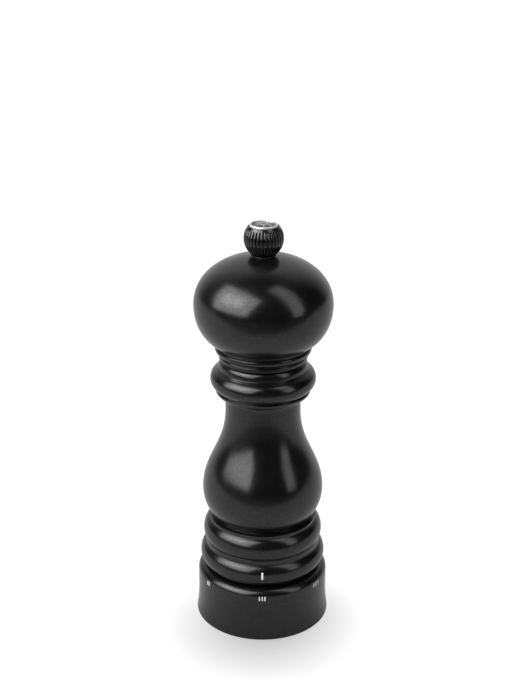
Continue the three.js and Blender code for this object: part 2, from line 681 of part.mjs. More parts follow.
// Steel ring toothed inside, parallel to the rotor's cone below and flaring to a mouth above.
function grindingStator() {
  const slope = ROTOR_CONE_TAPER / ROTOR_CONE_HEIGHT;
  const innerR = (z) => ROTOR_R + GRIND_GAP - slope * (z - ROTOR_BOTTOM);
  const middle = (statorBottom + statorGrindTop) / 2;
  const throatR = innerR(statorGrindTop);
  const path = outline(innerR(statorBottom), statorBottom);
  path.lineTo(statorR, statorBottom);
  path.lineTo(statorR, statorTop);
  path.lineTo(statorMouthR, statorTop);
  path.quadraticCurveTo(throatR + 1, statorGrindTop + 2, throatR, statorGrindTop);
  path.lineTo(innerR(middle), middle);
  const isToothed = (r, z) => r < statorMouthR - EDGE && z < statorGrindTop + EDGE;
  const depth = (r, z) => (isToothed(r, z) ? TOOTH_DEPTH : 0);
  const blank = latheGeometry(path, 3 * GRINDING_TEETH, CURVE_STEP / 2);
  const toothed = cutTeeth(blank, () => GRINDING_TEETH, depth);
  return solidOf(lean(toothed, -TOOTH_LEAN, statorBottom));
}

function carrierKeys(width, outerR, bottom, top) {
  const full = block(2 * outerR, width, bottom, top);
  return full.intersect(rod(outerR, bottom - THROUGH, top + THROUGH, 0, 0, SIDES));
}

// Cup that holds the stator. Its two keys run in the housing, so it rises without turning.
function statorCarrier() {
  const path = outline(carrierLipR, CARRIER_BOTTOM);
  path.lineTo(carrierR, CARRIER_BOTTOM);
  path.lineTo(carrierR, carrierTop);
  path.lineTo(statorR + GAP, carrierTop);
  path.lineTo(statorR + GAP, CARRIER_BOTTOM + CARRIER_LIP);
  path.lineTo(carrierLipR, CARRIER_BOTTOM + CARRIER_LIP);
  const keys = carrierKeys(CARRIER_KEY_WIDTH, carrierR + CARRIER_KEY, keyBottom, carrierTop);
  const inWallR = carrierR - CARRIER_WALL / 3;
  const hollow = rod(inWallR, keyBottom - THROUGH, carrierTop + THROUGH, 0, 0, SIDES);
  return join(turned(path), cut(keys, hollow));
}

function carrierSpring() {
  return coilSpring(springR, WIRE_R, carrierTop + GAP, housingLedge - GAP, 3);
}

// Threaded sleeve that turns with the ring. The thread lifts the carrier.
function liftSleeve() {
  const path = outline(carrierBoreR, SLEEVE_BOTTOM);
  path.lineTo(sleeveFlangeR, SLEEVE_BOTTOM);
  path.lineTo(sleeveFlangeR, sleeveFlangeTop);
  path.lineTo(sleeveWallR, sleeveFlangeTop);
  path.lineTo(sleeveWallR, sleeveTop);
  path.lineTo(carrierBoreR, sleeveTop);
  const holes = sleeveScrewPoints.map((p) => screwHole(p, SLEEVE_BOTTOM, sleeveFlangeTop));
  return cut(turned(path), ...holes);
}

// ---- Housing, bridge and detent -------------------------------------------------------

// Tube in the body's socket. Its lower flange carries the ring, its ledge the carrier's spring.
function mechanismHousing() {
  const path = outline(carrierBoreR, flangeBottom);
  path.lineTo(ringBoreR - GAP, flangeBottom);
  path.lineTo(ringBoreR - GAP, flangeTop);
  path.lineTo(housingR, flangeTop);
  path.lineTo(housingR, housingTop);
  path.lineTo(pepperBoreR, housingTop);
  path.lineTo(pepperBoreR, housingTopFlange);
  path.lineTo(housingWallR, housingTopFlange);
  path.lineTo(housingWallR, housingLedge);
  path.lineTo(carrierBoreR, housingLedge);
  const keyR = carrierBoreR + CARRIER_KEY;
  const keyWidth = CARRIER_KEY_WIDTH + 2 * GAP;
  const keyways = carrierKeys(keyWidth, keyR, flangeBottom - THROUGH, flangeTop);
  const holes = bridgeScrewPoints.map((p) => screwHole(p, housingTopFlange, housingTop));
  const { x, y } = detentPoint;
  const pocket = rod(DETENT_R + GAP, detentPocketFloor, flangeTop + THROUGH, x, y);
  return cut(turned(path), keyways, pocket, ...holes);
}

// Steel strip across the housing with a round eye for the bush.
function bearingBridge() {
  const reach = housingWallR - GAP;
  const inside = rod(reach, bridgeBottom - THROUGH, bridgeTop + THROUGH, 0, 0, SIDES);
  const strip = block(2 * reach, BRIDGE_ARM_WIDTH, bridgeBottom, bridgeTop).intersect(inside);
  const hub = rod(bridgeHubR, bridgeBottom, bridgeTop, 0, 0, 28);
  const eye = rod(bushR + GAP, bridgeBottom - THROUGH, bridgeTop + THROUGH, 0, 0, 28);
  const holes = bridgeScrewPoints.map((p) => screwHole(p, bridgeBottom, bridgeTop));
  return cut(join(strip, hub), eye, ...holes);
}

// Round-nosed pin under the ring's ledge, just clear of the lands between its notches.
function detentPlunger() {
  const top = ringLedgeBottom - GAP;
  const path = outline(0, top - DETENT_LENGTH);
  const nose = 0.7 * DETENT_R;
  path.lineTo(DETENT_R, top - DETENT_LENGTH);
  path.lineTo(DETENT_R, top - nose);
  path.arc(0, top - nose, DETENT_R, nose, 0, 90);
  return turned(path, 16, DETENT_R / 2).translate(detentPoint.x, detentPoint.y, 0);
}

function detentSpring() {
  const bottom = detentPocketFloor + GAP;
  const top = ringLedgeBottom - 2 * GAP - DETENT_LENGTH;
  const { x, y } = detentPoint;
  return coilSpring(0.72 * DETENT_R, 0.2 * DETENT_R, bottom, top, 3, x, y);
}

// ---- Assembly -------------------------------------------------------------------------

const mill = new THREE.Group();

function add(name, solid, material) {
  const { vertProperties, triVerts } = solid.getMesh();
  const geometry = new THREE.BufferGeometry();
  geometry.setAttribute("position", new THREE.BufferAttribute(vertProperties, 3));
  geometry.setIndex(new THREE.BufferAttribute(triVerts, 1));
  geometry.computeVertexNormals();
  const mesh = new THREE.Mesh(geometry, material());
  mesh.name = name;
  mill.add(mesh);
}

function addScrews(name, points, faceZ, woodZ) {
  points.forEach((point, i) => add(`${name}_${i + 1}`, screwUp(point, faceZ, woodZ), bareSteel));
}

add("body", body(), blackLacquer);
add("head", head(), blackLacquer);
add("adjuster_ring", adjusterRing(), blackLacquer);

add("knob", knob(), blackMoulding);
add("knob_trim_ring", knobTrimRing(), brightTrim);
add("knob_cap", knobCap(), blackMoulding);
add("knob_insert", knobInsert(), brass);
add("knob_washer", knobWasher(), darkNylon);

add("drive_shaft", driveShaft(), aluminium);
add("drive_plate", drivePlate(), bareSteel);
add("shaft_bush", shaftBush(), nylon);
add("pressure_spring", pressureSpring(), springSteel);
add("grinding_rotor", grindingRotor(), hardenedSteel);
add("rotor_washer", rotorWasher(), bareSteel);
add("rotor_nut", rotorNut(), bareSteel);
addScrews("drive_plate_screw", driveScrewPoints, drivePlateBottom, tenonBottom);

add("grinding_stator", grindingStator(), hardenedSteel);
add("stator_carrier", statorCarrier(), darkNylon);
add("carrier_spring", carrierSpring(), springSteel);
add("lift_sleeve", liftSleeve(), darkNylon);
addScrews("lift_sleeve_screw", sleeveScrewPoints, SLEEVE_BOTTOM, sleeveFlangeTop + GAP);

add("mechanism_housing", mechanismHousing(), darkNylon);
add("bearing_bridge", bearingBridge(), bareSteel);
addScrews("bridge_screw", bridgeScrewPoints, bridgeBottom, socketTop);
add("detent_plunger", detentPlunger(), bareSteel);
add("detent_spring", detentSpring(), springSteel);

export default mill;
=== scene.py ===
"""Pepper mill in turned, black-lacquered beech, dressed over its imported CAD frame.

Every length is in metres, and every piece stands in the frame's own place. A turned piece is
an outline of radius and height, carried once round the shaft's axis.
"""

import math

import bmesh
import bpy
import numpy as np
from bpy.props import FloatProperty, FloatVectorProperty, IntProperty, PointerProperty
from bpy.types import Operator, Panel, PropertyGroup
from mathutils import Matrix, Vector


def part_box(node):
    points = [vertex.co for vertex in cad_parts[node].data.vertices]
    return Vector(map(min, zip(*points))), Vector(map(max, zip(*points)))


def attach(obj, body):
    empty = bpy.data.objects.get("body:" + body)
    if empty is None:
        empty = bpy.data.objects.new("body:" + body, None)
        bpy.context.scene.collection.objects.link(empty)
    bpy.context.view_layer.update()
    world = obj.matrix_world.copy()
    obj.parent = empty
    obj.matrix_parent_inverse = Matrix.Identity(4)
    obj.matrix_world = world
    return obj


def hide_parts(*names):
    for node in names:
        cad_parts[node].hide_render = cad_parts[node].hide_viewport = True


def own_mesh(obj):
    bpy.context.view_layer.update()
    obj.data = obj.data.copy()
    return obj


bl_info = {
    "name": "Turned Pepper Mill",
    "version": (1, 0, 0),
    "blender": (4, 5, 0),
    "location": "3D View > Sidebar > Mill",
    "description": "Builds the pieces, the mechanism and the studio of a pepper mill",
    "category": "Object",
}

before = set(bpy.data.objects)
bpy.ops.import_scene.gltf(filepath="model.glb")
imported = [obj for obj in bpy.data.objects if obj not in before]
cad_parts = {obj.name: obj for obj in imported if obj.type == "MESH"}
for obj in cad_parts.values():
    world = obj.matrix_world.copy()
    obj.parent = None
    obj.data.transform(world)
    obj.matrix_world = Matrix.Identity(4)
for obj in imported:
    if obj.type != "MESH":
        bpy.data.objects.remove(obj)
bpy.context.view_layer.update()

MM = 0.001
ROUND = 192  # faces round a large turned piece
ROUND_SMALL = 96


def foot_z(node):
    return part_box(node)[0][2]


def top_z(node):
    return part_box(node)[1][2]


def radius_of(node):
    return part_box(node)[1][0]


def linear(hex_colour):
    """An sRGB hex colour as the linear red, green and blue that Blender's sockets take."""
    values = [int(hex_colour[i:i + 2], 16) / 255 for i in (1, 3, 5)]
    return [v / 12.92 if v <= 0.04045 else ((v + 0.055) / 1.055) ** 2.4 for v in values]


# ---- Sizes and finishes that a user may change ---------------------------------------------


def length(name, description, default):
    return FloatProperty(name=name, description=description, default=default, min=0.0,
                         unit="LENGTH", subtype="DISTANCE", precision=5)


def tint(name, description, hex_colour):
    return FloatVectorProperty(name=name, description=description, default=linear(hex_colour),
                               size=3, min=0.0, max=1.0, subtype="COLOR")


def share(name, description, default):
    return FloatProperty(name=name, description=description, default=default, min=0.0, max=1.0,
                         subtype="FACTOR")


class MillSizes(PropertyGroup):
    """Outline of the turned pieces, read upwards from the foot."""

    foot_radius: length("Foot radius", "Widest radius of the adjusting ring",
                        radius_of("adjuster_ring"))
    waist_radius: length("Ring waist", "Radius of the adjusting ring above its foot", 28.6 * MM)
    ring_shoulder: length("Ring shoulder", "Rounding of the ring's upper edge", 3.4 * MM)
    lower_bead: length("Lower bead", "Crest radius of the body's lowest bead", 27.5 * MM)
    upper_bead: length("Upper bead", "Crest radius of the bead under the bulb", 26.1 * MM)
    bulb_root: length("Bulb root", "Radius where the bulb springs from its fillet", 21.6 * MM)
    bulb_radius: length("Bulb", "Widest radius of the bulb", 26.3 * MM)
    neck_radius: length("Neck", "Narrowest radius of the body", 16.2 * MM)
    head_radius: length("Head", "Widest radius of the head", radius_of("head"))
    knob_radius: length("Knob", "Radius of the ball knob", 8.35 * MM)
    knob_top: length("Knob top", "Radius of the flat on top of the knob", 6.4 * MM)
    flutes: IntProperty(name="Knob flutes", description="Grooves round the knob", default=32,
                        min=8)
    flute_depth: length("Flute depth", "Depth of each groove of the knob", 0.5 * MM)
    edge: length("Edge softness", "Rounding that the lacquer leaves on a turned edge", 0.16 * MM)


class MillFinish(PropertyGroup):
    """Colours of the visible finishes."""

    lacquer: tint("Lacquer", "Black satin lacquer", "#0c0c0d")
    lacquer_gloss: share("Lacquer roughness", "Roughness of the satin lacquer", 0.2)
    moulding: tint("Knob plastic", "Glossy black moulding of the knob", "#0b0b0c")
    print_white: tint("Print", "White ink of the index and the settings", "#e9e9e6")
    beech: tint("Bare beech", "Unfinished wood inside the body and the head", "#c9a277")
    floor: tint("Floor", "Surface of the light table", "#5e5e5e")


# ---- Outlines ------------------------------------------------------------------------------


def arc(centre, radii, start, end, count=40):
    """Points on an ellipse about centre (r, z), from start to end in degrees."""
    angle = np.radians(np.linspace(start, end, count))
    return np.stack([centre[0] + radii[0] * np.cos(angle),
                     centre[1] + radii[1] * np.sin(angle)], 1)


def bezier(*corners, count=60):
    """Points on the Bezier curve that the corners control, by Bernstein's formula."""
    order = len(corners) - 1
    t = np.linspace(0, 1, count)[:, None]
    return sum(math.comb(order, i) * (1 - t) ** (order - i) * t ** i * np.array(corner)
               for i, corner in enumerate(corners))


def joined(*runs):
    """Points and runs of points, end to end, as one outline."""
    return np.concatenate([np.atleast_2d(np.asarray(run, float)) for run in runs])


def collar(inner, outer, low, high):
    """Section of a plain ring, from its inner foot and round."""
    return joined((inner, low), (outer, low), (outer, high), (inner, high))


def softened(outline, radius, closed=True):
    """The outline with its corners rounded to about radius, and points only where it bends.

    It is sampled evenly along its length and averaged over a window of that radius. Then a
    point is kept each time the heading has turned by 3 degrees or 2 mm have passed.
    """
    points = np.concatenate([outline, outline[:1]]) if closed else outline
    run = np.r_[0, np.cumsum(np.hypot(*np.diff(points, axis=0).T))]
    step = radius / 3
    count = int(run[-1] / step) + 1
    even = np.linspace(0, run[-1], count, endpoint=not closed)
    fine = np.stack([np.interp(even, run, points[:, i]) for i in (0, 1)], 1)
    window = np.hanning(9)[1:-1]
    window /= window.sum()
    pad = len(window) // 2
    if closed:
        padded = np.concatenate([fine[-pad:], fine, fine[:pad]])
    else:
        padded = np.concatenate([2 * fine[0] - fine[pad:0:-1], fine,
                                 2 * fine[-1] - fine[-2:-pad - 2:-1]])
    smooth = np.stack([np.convolve(padded[:, i], window, "valid") for i in (0, 1)], 1)
    if not closed:
        smooth[0], smooth[-1] = fine[0], fine[-1]
    ahead = np.roll(smooth, -1, axis=0) - smooth
    heading = np.unwrap(np.arctan2(ahead[:, 1], ahead[:, 0]))
    spent = np.abs(np.diff(heading, prepend=heading[0])) / math.radians(3)
    spent += np.hypot(ahead[:, 0], ahead[:, 1]) / (2 * MM)
    if not closed:
        spent[-1] = 0
    stage = np.floor(np.cumsum(spent))
    keep = np.r_[True, np.diff(stage) > 0]
    if not closed:
        keep[-1] = True
    return smooth[keep]


# ---- Meshes --------------------------------------------------------------------------------


def grid_mesh(name, points, close_rows, close_columns):
    """A surface through a grid of points: rows run along the outline, columns go round it.

    Each face joins a point to its neighbours in the next row and the next column. Rows that
    fall on one point are welded into a pole.
    """
    rows, columns = points.shape[:2]
    index = np.arange(rows * columns).reshape(rows, columns)
    above = np.roll(index, -1, axis=0)
    beside = np.roll(index, -1, axis=1)
    corner = np.roll(above, -1, axis=1)
    faces = np.stack([index, beside, corner, above], -1)
    faces = faces[:rows if close_rows else -1, :columns if close_columns else -1]
    mesh = bpy.data.meshes.new(name)
    mesh.from_pydata(points.reshape(-1, 3), [], faces.reshape(-1, 4).tolist())
    piece = bpy.data.objects.new(name, mesh)
    bpy.context.scene.collection.objects.link(piece)
    weld(mesh)
    mesh.shade_smooth()
    mesh.set_sharp_from_angle(angle=math.radians(35))
    return piece


def weld(mesh):
    """Closes poles and seams by merging points that fall together."""
    work = bmesh.new()
    work.from_mesh(mesh)
    bmesh.ops.remove_doubles(work, verts=work.verts, dist=1e-7)
    bmesh.ops.dissolve_degenerate(work, edges=work.edges, dist=1e-8)
    work.to_mesh(mesh)
    work.free()


def turned(name, outline, columns=ROUND, shape=None, closed=True, centre=(0, 0), twist=0.0):
    """The outline carried once round the axis.

    shape(r, z, angle) gives each point's radius. twist turns each level by that many radians
    per metre of height, so that the columns follow leaning teeth.
    """
    r = np.repeat(outline[:, :1], columns, axis=1)
    z = np.repeat(outline[:, 1:], columns, axis=1)
    angle = np.linspace(0, 2 * np.pi, columns, endpoint=False)[None, :] + twist * z
    if shape is not None:
        r = shape(r, z, angle)
    points = np.stack([r * np.cos(angle) + centre[0], r * np.sin(angle) + centre[1], z], -1)
    return grid_mesh(name, points, close_rows=closed, close_columns=True)


def coiled(name, mean, wire, low, high, turns, centre=(0, 0)):
    """Round wire along a helix of mean radius, from low to high, its ends closed to a point.

    A point is the helix's point at its angle, plus the wire's radius along the outward and the
    upward directions by the cosine and sine of the section's angle.
    """
    along = np.linspace(0, 1, turns * 48 + 1)[:, None]
    round_wire = np.linspace(0, 2 * np.pi, 14, endpoint=False)[None, :]
    turn = 2 * np.pi * turns * along
    thick = np.full_like(along, wire)
    thick[[0, -1]] = 0
    r = mean + thick * np.cos(round_wire)
    z = low + wire + along * (high - low - 2 * wire) + thick * np.sin(round_wire)
    points = np.stack([r * np.cos(turn) + centre[0], r * np.sin(turn) + centre[1], z], -1)
    return grid_mesh(name, points[:, ::-1], close_rows=False, close_columns=True)


def divided(outline, step, closed=True):
    """The outline with points added so that none are further apart than step."""
    ends = np.roll(outline, -1, axis=0) if closed else outline[1:]
    runs = [np.linspace(start, end, max(1, math.ceil(math.dist(start, end) / step)),
                        endpoint=False) for start, end in zip(outline, ends)]
    return joined(*runs) if closed else joined(*runs, outline[-1])


def squared(half, angle):
    """Radius of a square of that half side with rounded corners: a superellipse of power 14."""
    return half / (np.abs(np.cos(angle)) ** 14 + np.abs(np.sin(angle)) ** 14) ** (1 / 14)


def hexagon(half, angle):
    """Radius of a hexagon, half as wide across its flats, with one flat facing +X."""
    return half / np.cos(np.mod(angle + np.pi / 6, np.pi / 3) - np.pi / 6)


def thread(pitch, z, angle):
    """Depth of a V thread, 0 at the crest and 1 at the root, rising one pitch per turn."""
    return np.abs(2 * np.mod(z / pitch - angle / (2 * np.pi), 1) - 1)


def sawtooth(teeth, angle):
    """Rises from 0 to 1 across each tooth and drops at once."""
    return np.mod(np.round(teeth * angle / (2 * np.pi), 5), 1)


def middle_of(node):
    """Where a small piece's own axis stands."""
    low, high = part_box(node)
    return (low[0] + high[0]) / 2, (low[1] + high[1]) / 2


def place(piece, body, slot, replaces=()):
    """Rides the piece on its body, hides the parts that it stands for and gives it its slot's
    finish.
    """
    piece.data.materials.append(finish_of(slot))
    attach(piece, body)
    if replaces:
        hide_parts(*replaces)
    return piece


# ---- Finishes ------------------------------------------------------------------------------


def add_node(tree, kind, settings=None, **links):
    """Adds a node, sets its properties, and fills its inputs with values or other outputs."""
    made = tree.nodes.new(kind)
    for key, value in (settings or {}).items():
        setattr(made, key, value)
    for key, value in links.items():
        socket = made.inputs[int(key[1:])] if key[0] == "i" and key[1:].isdigit() else \
            made.inputs[key.replace("_", " ")]
        if isinstance(value, bpy.types.NodeSocket):
            tree.links.new(value, socket)
        else:
            socket.default_value = value
    return made


def new_finish(name, colour, roughness, metallic=0.0):
    """A material with its shader set up, and Object coordinates to hang a pattern on."""
    finish = bpy.data.materials.new(name)
    finish.use_nodes = True
    tree = finish.node_tree
    shader = tree.nodes["Principled BSDF"]
    shader.inputs["Base Color"].default_value = (*colour, 1)
    shader.inputs["Roughness"].default_value = roughness
    shader.inputs["Metallic"].default_value = metallic
    place_in = add_node(tree, "ShaderNodeTexCoord").outputs["Object"]
    return finish, tree, shader, place_in


def stretched(tree, place_in, x, y, z):
    """Object coordinates scaled apart along each axis, for grain and draw lines."""
    return add_node(tree, "ShaderNodeMapping", Vector=place_in, Scale=(x, y, z)).outputs[0]


def noise(tree, vector, size, detail=2.0, roughness=0.5):
    """Noise whose blotches are about size metres across."""
    made = add_node(tree, "ShaderNodeTexNoise", Vector=vector, Scale=1 / size, Detail=detail,
                    Roughness=roughness)
    return made.outputs["Fac"]


def spread(tree, value, low, high, from_low=0.3, from_high=0.7):
    """A 0 to 1 pattern spread over another range."""
    made = add_node(tree, "ShaderNodeMapRange", Value=value, From_Min=from_low,
                    From_Max=from_high, To_Min=low, To_Max=high)
    return made.outputs[0]


def blend_colours(tree, factor, low, high):
    made = add_node(tree, "ShaderNodeMix", {"data_type": "RGBA"}, i0=factor)
    made.inputs[6].default_value = (*low, 1)
    made.inputs[7].default_value = (*high, 1)
    return made.outputs[2]


def relief(tree, shader, height, distance, strength=1.0):
    """Presses a height pattern into the surface, distance metres deep."""
    made = add_node(tree, "ShaderNodeBump", Height=height, Distance=distance, Strength=strength)
    tree.links.new(made.outputs[0], shader.inputs["Normal"])


def satin_lacquer_on_beech(colours):
    """Sprayed black satin lacquer: near-black, a soft sheen broken by the fine tooth of the spray.

    The spray's tooth is 0.6 mm across, drawn a little coarser than life so that it shows, and
    the beech's pores, 0.5 mm wide and 6 mm long up the grain, just telegraph through it.
    """
    gloss = colours.lacquer_gloss
    finish, tree, shader, place_in = new_finish("satin_lacquer_on_beech", colours.lacquer, gloss)
    tooth = noise(tree, place_in, 0.6 * MM, detail=3.0)
    pores = noise(tree, stretched(tree, place_in, 1, 1, 0.08), 0.5 * MM, detail=2.0)
    cloud = noise(tree, place_in, 9 * MM, detail=2.0)
    tree.links.new(spread(tree, cloud, gloss - 0.02, gloss + 0.04), shader.inputs["Roughness"])
    tree.links.new(spread(tree, tooth, 0.36, 0.66), shader.inputs["Specular IOR Level"])
    height = add_node(tree, "ShaderNodeMath", {"operation": "MULTIPLY_ADD"}, i0=pores, i1=0.4,
                      i2=tooth).outputs[0]
    relief(tree, shader, height, 0.02 * MM)
    shader.inputs["IOR"].default_value = 1.5
    return finish


def bare_beech(colours):
    """Turned, unfinished beech: pinkish tan, darker growth bands and short brown ray flecks."""
    finish, tree, shader, place_in = new_finish("bare_beech", colours.beech, 0.62)
    bands = noise(tree, stretched(tree, place_in, 1, 0.25, 0.04), 3 * MM, detail=3.0)
    flecks = noise(tree, stretched(tree, place_in, 1, 1, 0.12), 0.45 * MM, detail=2.0)
    tan = blend_colours(tree, spread(tree, bands, 0, 1), linear("#d3b08a"), linear("#b98d62"))
    darker = add_node(tree, "ShaderNodeMix", {"data_type": "RGBA"},
                      i0=spread(tree, flecks, 0, 1, 0.62, 0.72), i6=tan)
    darker.inputs[7].default_value = (*linear("#8a5f3d"), 1)
    tree.links.new(darker.outputs[2], shader.inputs["Base Color"])
    relief(tree, shader, flecks, 0.03 * MM)
    return finish


def moulded_gloss_plastic(colours):
    """Polished injection moulding in black ABS: glossy, with a faint ripple from the tool."""
    finish, tree, shader, place_in = new_finish("moulded_gloss_plastic", colours.moulding, 0.16)
    ripple = noise(tree, place_in, 2.5 * MM)
    tree.links.new(spread(tree, ripple, 0.12, 0.22), shader.inputs["Roughness"])
    relief(tree, shader, ripple, 0.01 * MM)
    shader.inputs["IOR"].default_value = 1.62
    return finish


def plated_trim(_colours):
    """Satin nickel plating on a moulded ring: a broad soft sheen, slightly uneven."""
    finish, tree, shader, place_in = new_finish("plated_trim", linear("#f1f2f3"), 0.5, 1.0)
    wave = noise(tree, place_in, 1.2 * MM)
    tree.links.new(spread(tree, wave, 0.46, 0.56), shader.inputs["Roughness"])
    return finish


def pad_printed_ink(colours):
    """Pad-printed white ink: matt and slightly uneven in density."""
    finish, tree, shader, place_in = new_finish("pad_printed_ink", colours.print_white, 0.55)
    density = noise(tree, place_in, 0.3 * MM, detail=3.0)
    shade = blend_colours(tree, spread(tree, density, 0, 1), linear("#d6d6d3"), linear("#f4f4f2"))
    tree.links.new(shade, shader.inputs["Base Color"])
    return finish


def turned_metal(name, hex_colour, dark_hex, roughness, line=0.15 * MM):
    """Machined metal: rings of tool marks round the axis, which catch the light as fine lines."""
    finish, tree, shader, place_in = new_finish(name, linear(hex_colour), roughness, 1.0)
    rings = noise(tree, stretched(tree, place_in, 0.05, 0.05, 1), line, detail=2.0)
    shade = blend_colours(tree, spread(tree, rings, 0, 1), linear(dark_hex), linear(hex_colour))
    tree.links.new(shade, shader.inputs["Base Color"])
    tree.links.new(spread(tree, rings, roughness - 0.06, roughness + 0.1),
                   shader.inputs["Roughness"])
    relief(tree, shader, rings, 0.01 * MM)
    return finish


def moulded_nylon(name, hex_colour, roughness=0.5):
    """Moulded nylon: waxy, with the fine spark-eroded grain of its tool, 0.3 mm across."""
    finish, tree, shader, place_in = new_finish(name, linear(hex_colour), roughness)
    grain = noise(tree, place_in, 0.3 * MM, detail=2.0)
    tree.links.new(spread(tree, grain, roughness - 0.08, roughness + 0.08),
                   shader.inputs["Roughness"])
    relief(tree, shader, grain, 0.02 * MM)
    return finish


class Finishes:
    """The finishes of the mill, one for each slot and bare beech, shared by its pieces."""

    def __init__(self, colours):
        self.black_lacquer = satin_lacquer_on_beech(colours)
        self.beech = bare_beech(colours)
        self.black_moulding = moulded_gloss_plastic(colours)
        self.bright_trim = plated_trim(colours)
        self.white_print = pad_printed_ink(colours)
        self.plain_steel = turned_metal("zinc_plated_steel", "#b9bdc0", "#9fa4a8", 0.34)
        self.hard_steel = turned_metal("case_hardened_steel", "#77797c", "#55575a", 0.42)
        self.spring_steel = turned_metal("drawn_spring_wire", "#a9acaf", "#909396", 0.3,
                                         0.4 * MM)
        self.shaft_aluminium = turned_metal("drawn_aluminium", "#c9cccf", "#b3b6b9", 0.32)
        self.brass = turned_metal("turned_brass", "#c9a455", "#b08c42", 0.3)
        self.pale_nylon = moulded_nylon("natural_nylon", "#d8d3c4")
        self.dark_nylon = moulded_nylon("black_nylon", "#1d1e20")


finishes = {}


def finish_of(name):
    if not finishes:
        finishes["all"] = Finishes(bpy.context.scene.mill_finish)
    return getattr(finishes["all"], name)


# ---- Turned pieces -------------------------------------------------------------------------

EDGE = 0.4 * MM  # broken corner of a turned piece
GAP = 0.3 * MM  # between pieces that touch or run in each other
SEAM = 0.4 * MM  # open line between two turned pieces

# Heights of the body's mouldings, from its foot up
LOWER_BEAD_HEIGHT = 10.9 * MM
LOWER_FILLET_HEIGHT = 1.6 * MM
UPPER_BEAD_HEIGHT = 10 * MM
UPPER_FILLET_HEIGHT = 1.5 * MM
BULB_RISE = 12.8 * MM
BULB_TO_NECK = 37.3 * MM
NECK_LENGTH = 7.1 * MM
OVOLO_HEIGHT = 2.1 * MM
COLLAR_HEIGHT = 10.2 * MM

# Radii of its smaller steps, and how round its mouldings are
LOWER_FILLET = 25.1 * MM
LOWER_BEAD_ROUND = 4.3 * MM
UPPER_FILLET = 23.5 * MM
UPPER_BEAD_ROUND = 4.6 * MM
NECK_FLARE = 2 * MM
NECK_FLARE_HEIGHT = 3.4 * MM
OVOLO_OUT = 4.2 * MM
COLLAR_ROOT_IN = 0.6 * MM
COLLAR_OUT = 2.8 * MM
COLLAR_ROUND = 4.4 * MM
CROWN_IN = 0.7 * MM
CROWN_ROUND = 1.7 * MM

# Joint between the head and the body
TENON = 14.1 * MM
HEAD_FOOT_OUT = 1.05 * MM

# Heights of the head's mouldings, from its foot up, and how far each stands out
HEAD_FOOT_HEIGHT = 2.1 * MM
HEAD_DISC_HEIGHT = 3.4 * MM
HEAD_COVE_HEIGHT = 1.7 * MM
HEAD_RISE = 16.9 * MM
HEAD_DISC_OUT = 1.9 * MM
HEAD_COVE_OUT = 0.85 * MM
HEAD_ROOT_OUT = 1.1 * MM

# The dome's curve: how far its flat top reaches out, and how fast it falls there
CROWN_SPREAD = 0.65
CROWN_SLOPE = 0.158

# Clearances of the mechanism's seats, inside the parts that they hold
HOUSING_SEAT_IN = 3.7 * MM
BRIDGE_SEAT_IN = 3.6 * MM

# Shaft
SHAFT_SIDE = 5 * MM
SHAFT_ROUND = 2.4 * MM  # radius of its round ends
SHAFT_THREAD = 15 * MM
KNOB_PITCH = 1 * MM
SQUARE_HOLE = SHAFT_SIDE / 2 + GAP  # half its side


def crown_radius(sizes):
    return sizes.neck_radius + OVOLO_OUT - COLLAR_ROOT_IN - CROWN_IN


def body_outside(sizes):
    """Bead, fillet, bead, fillet, bulb, neck, ovolo, collar and crown, from the foot up."""
    foot, top = foot_z("body"), top_z("body")
    lower_top = foot + LOWER_BEAD_HEIGHT
    fillet_top = lower_top + LOWER_FILLET_HEIGHT
    upper_top = fillet_top + UPPER_BEAD_HEIGHT
    root = upper_top + UPPER_FILLET_HEIGHT
    widest = root + BULB_RISE
    neck = widest + BULB_TO_NECK
    neck_top = neck + NECK_LENGTH
    ovolo_top = neck_top + OVOLO_HEIGHT
    collar_top = ovolo_top + COLLAR_HEIGHT
    bulb, slim = sizes.bulb_radius, sizes.neck_radius
    flared, ovolo_out = slim + NECK_FLARE, slim + OVOLO_OUT
    collar_root, crown_out = ovolo_out - COLLAR_ROOT_IN, crown_radius(sizes)
    lower = arc((sizes.lower_bead - LOWER_BEAD_ROUND, foot + LOWER_BEAD_HEIGHT / 2),
                (LOWER_BEAD_ROUND, LOWER_BEAD_HEIGHT / 2), -80, 62)
    upper = arc((sizes.upper_bead - UPPER_BEAD_ROUND, fillet_top + 0.42 * UPPER_BEAD_HEIGHT),
                (UPPER_BEAD_ROUND, 0.62 * UPPER_BEAD_HEIGHT), -41, 64)
    belly = bezier((sizes.bulb_root, root), (sizes.bulb_root + 2.4 * MM, root + 3.4 * MM),
                   (bulb, widest - 0.45 * BULB_RISE), (bulb, widest))
    shoulder = bezier((bulb, widest), (bulb, widest + 0.37 * BULB_TO_NECK),
                      (slim, neck - 0.475 * BULB_TO_NECK), (slim, neck))
    flare = bezier((slim, neck_top - NECK_FLARE_HEIGHT), (slim, neck_top - EDGE),
                   (flared, neck_top), count=16)
    ovolo = arc((flared, ovolo_top), (ovolo_out - flared, OVOLO_HEIGHT), -90, 0)
    bulge = arc((collar_root + COLLAR_OUT - COLLAR_ROUND, ovolo_top + COLLAR_HEIGHT / 2),
                (COLLAR_ROUND, COLLAR_HEIGHT / 2 - EDGE), -62, 62)
    crown_foot = collar_top + EDGE
    crown = arc((crown_out - CROWN_ROUND, crown_foot), (CROWN_ROUND, top - crown_foot), 0, 75)
    return joined((sizes.lower_bead - LOWER_BEAD_ROUND, foot), lower,
                  (LOWER_FILLET, lower_top), (LOWER_FILLET, fillet_top), upper,
                  (UPPER_FILLET, upper_top), (UPPER_FILLET, root - EDGE), belly, shoulder,
                  flare, ovolo, (collar_root, ovolo_top + EDGE), bulge,
                  (crown_out, collar_top), (crown_out, crown_foot), crown,
                  (crown_out - CROWN_ROUND, top))


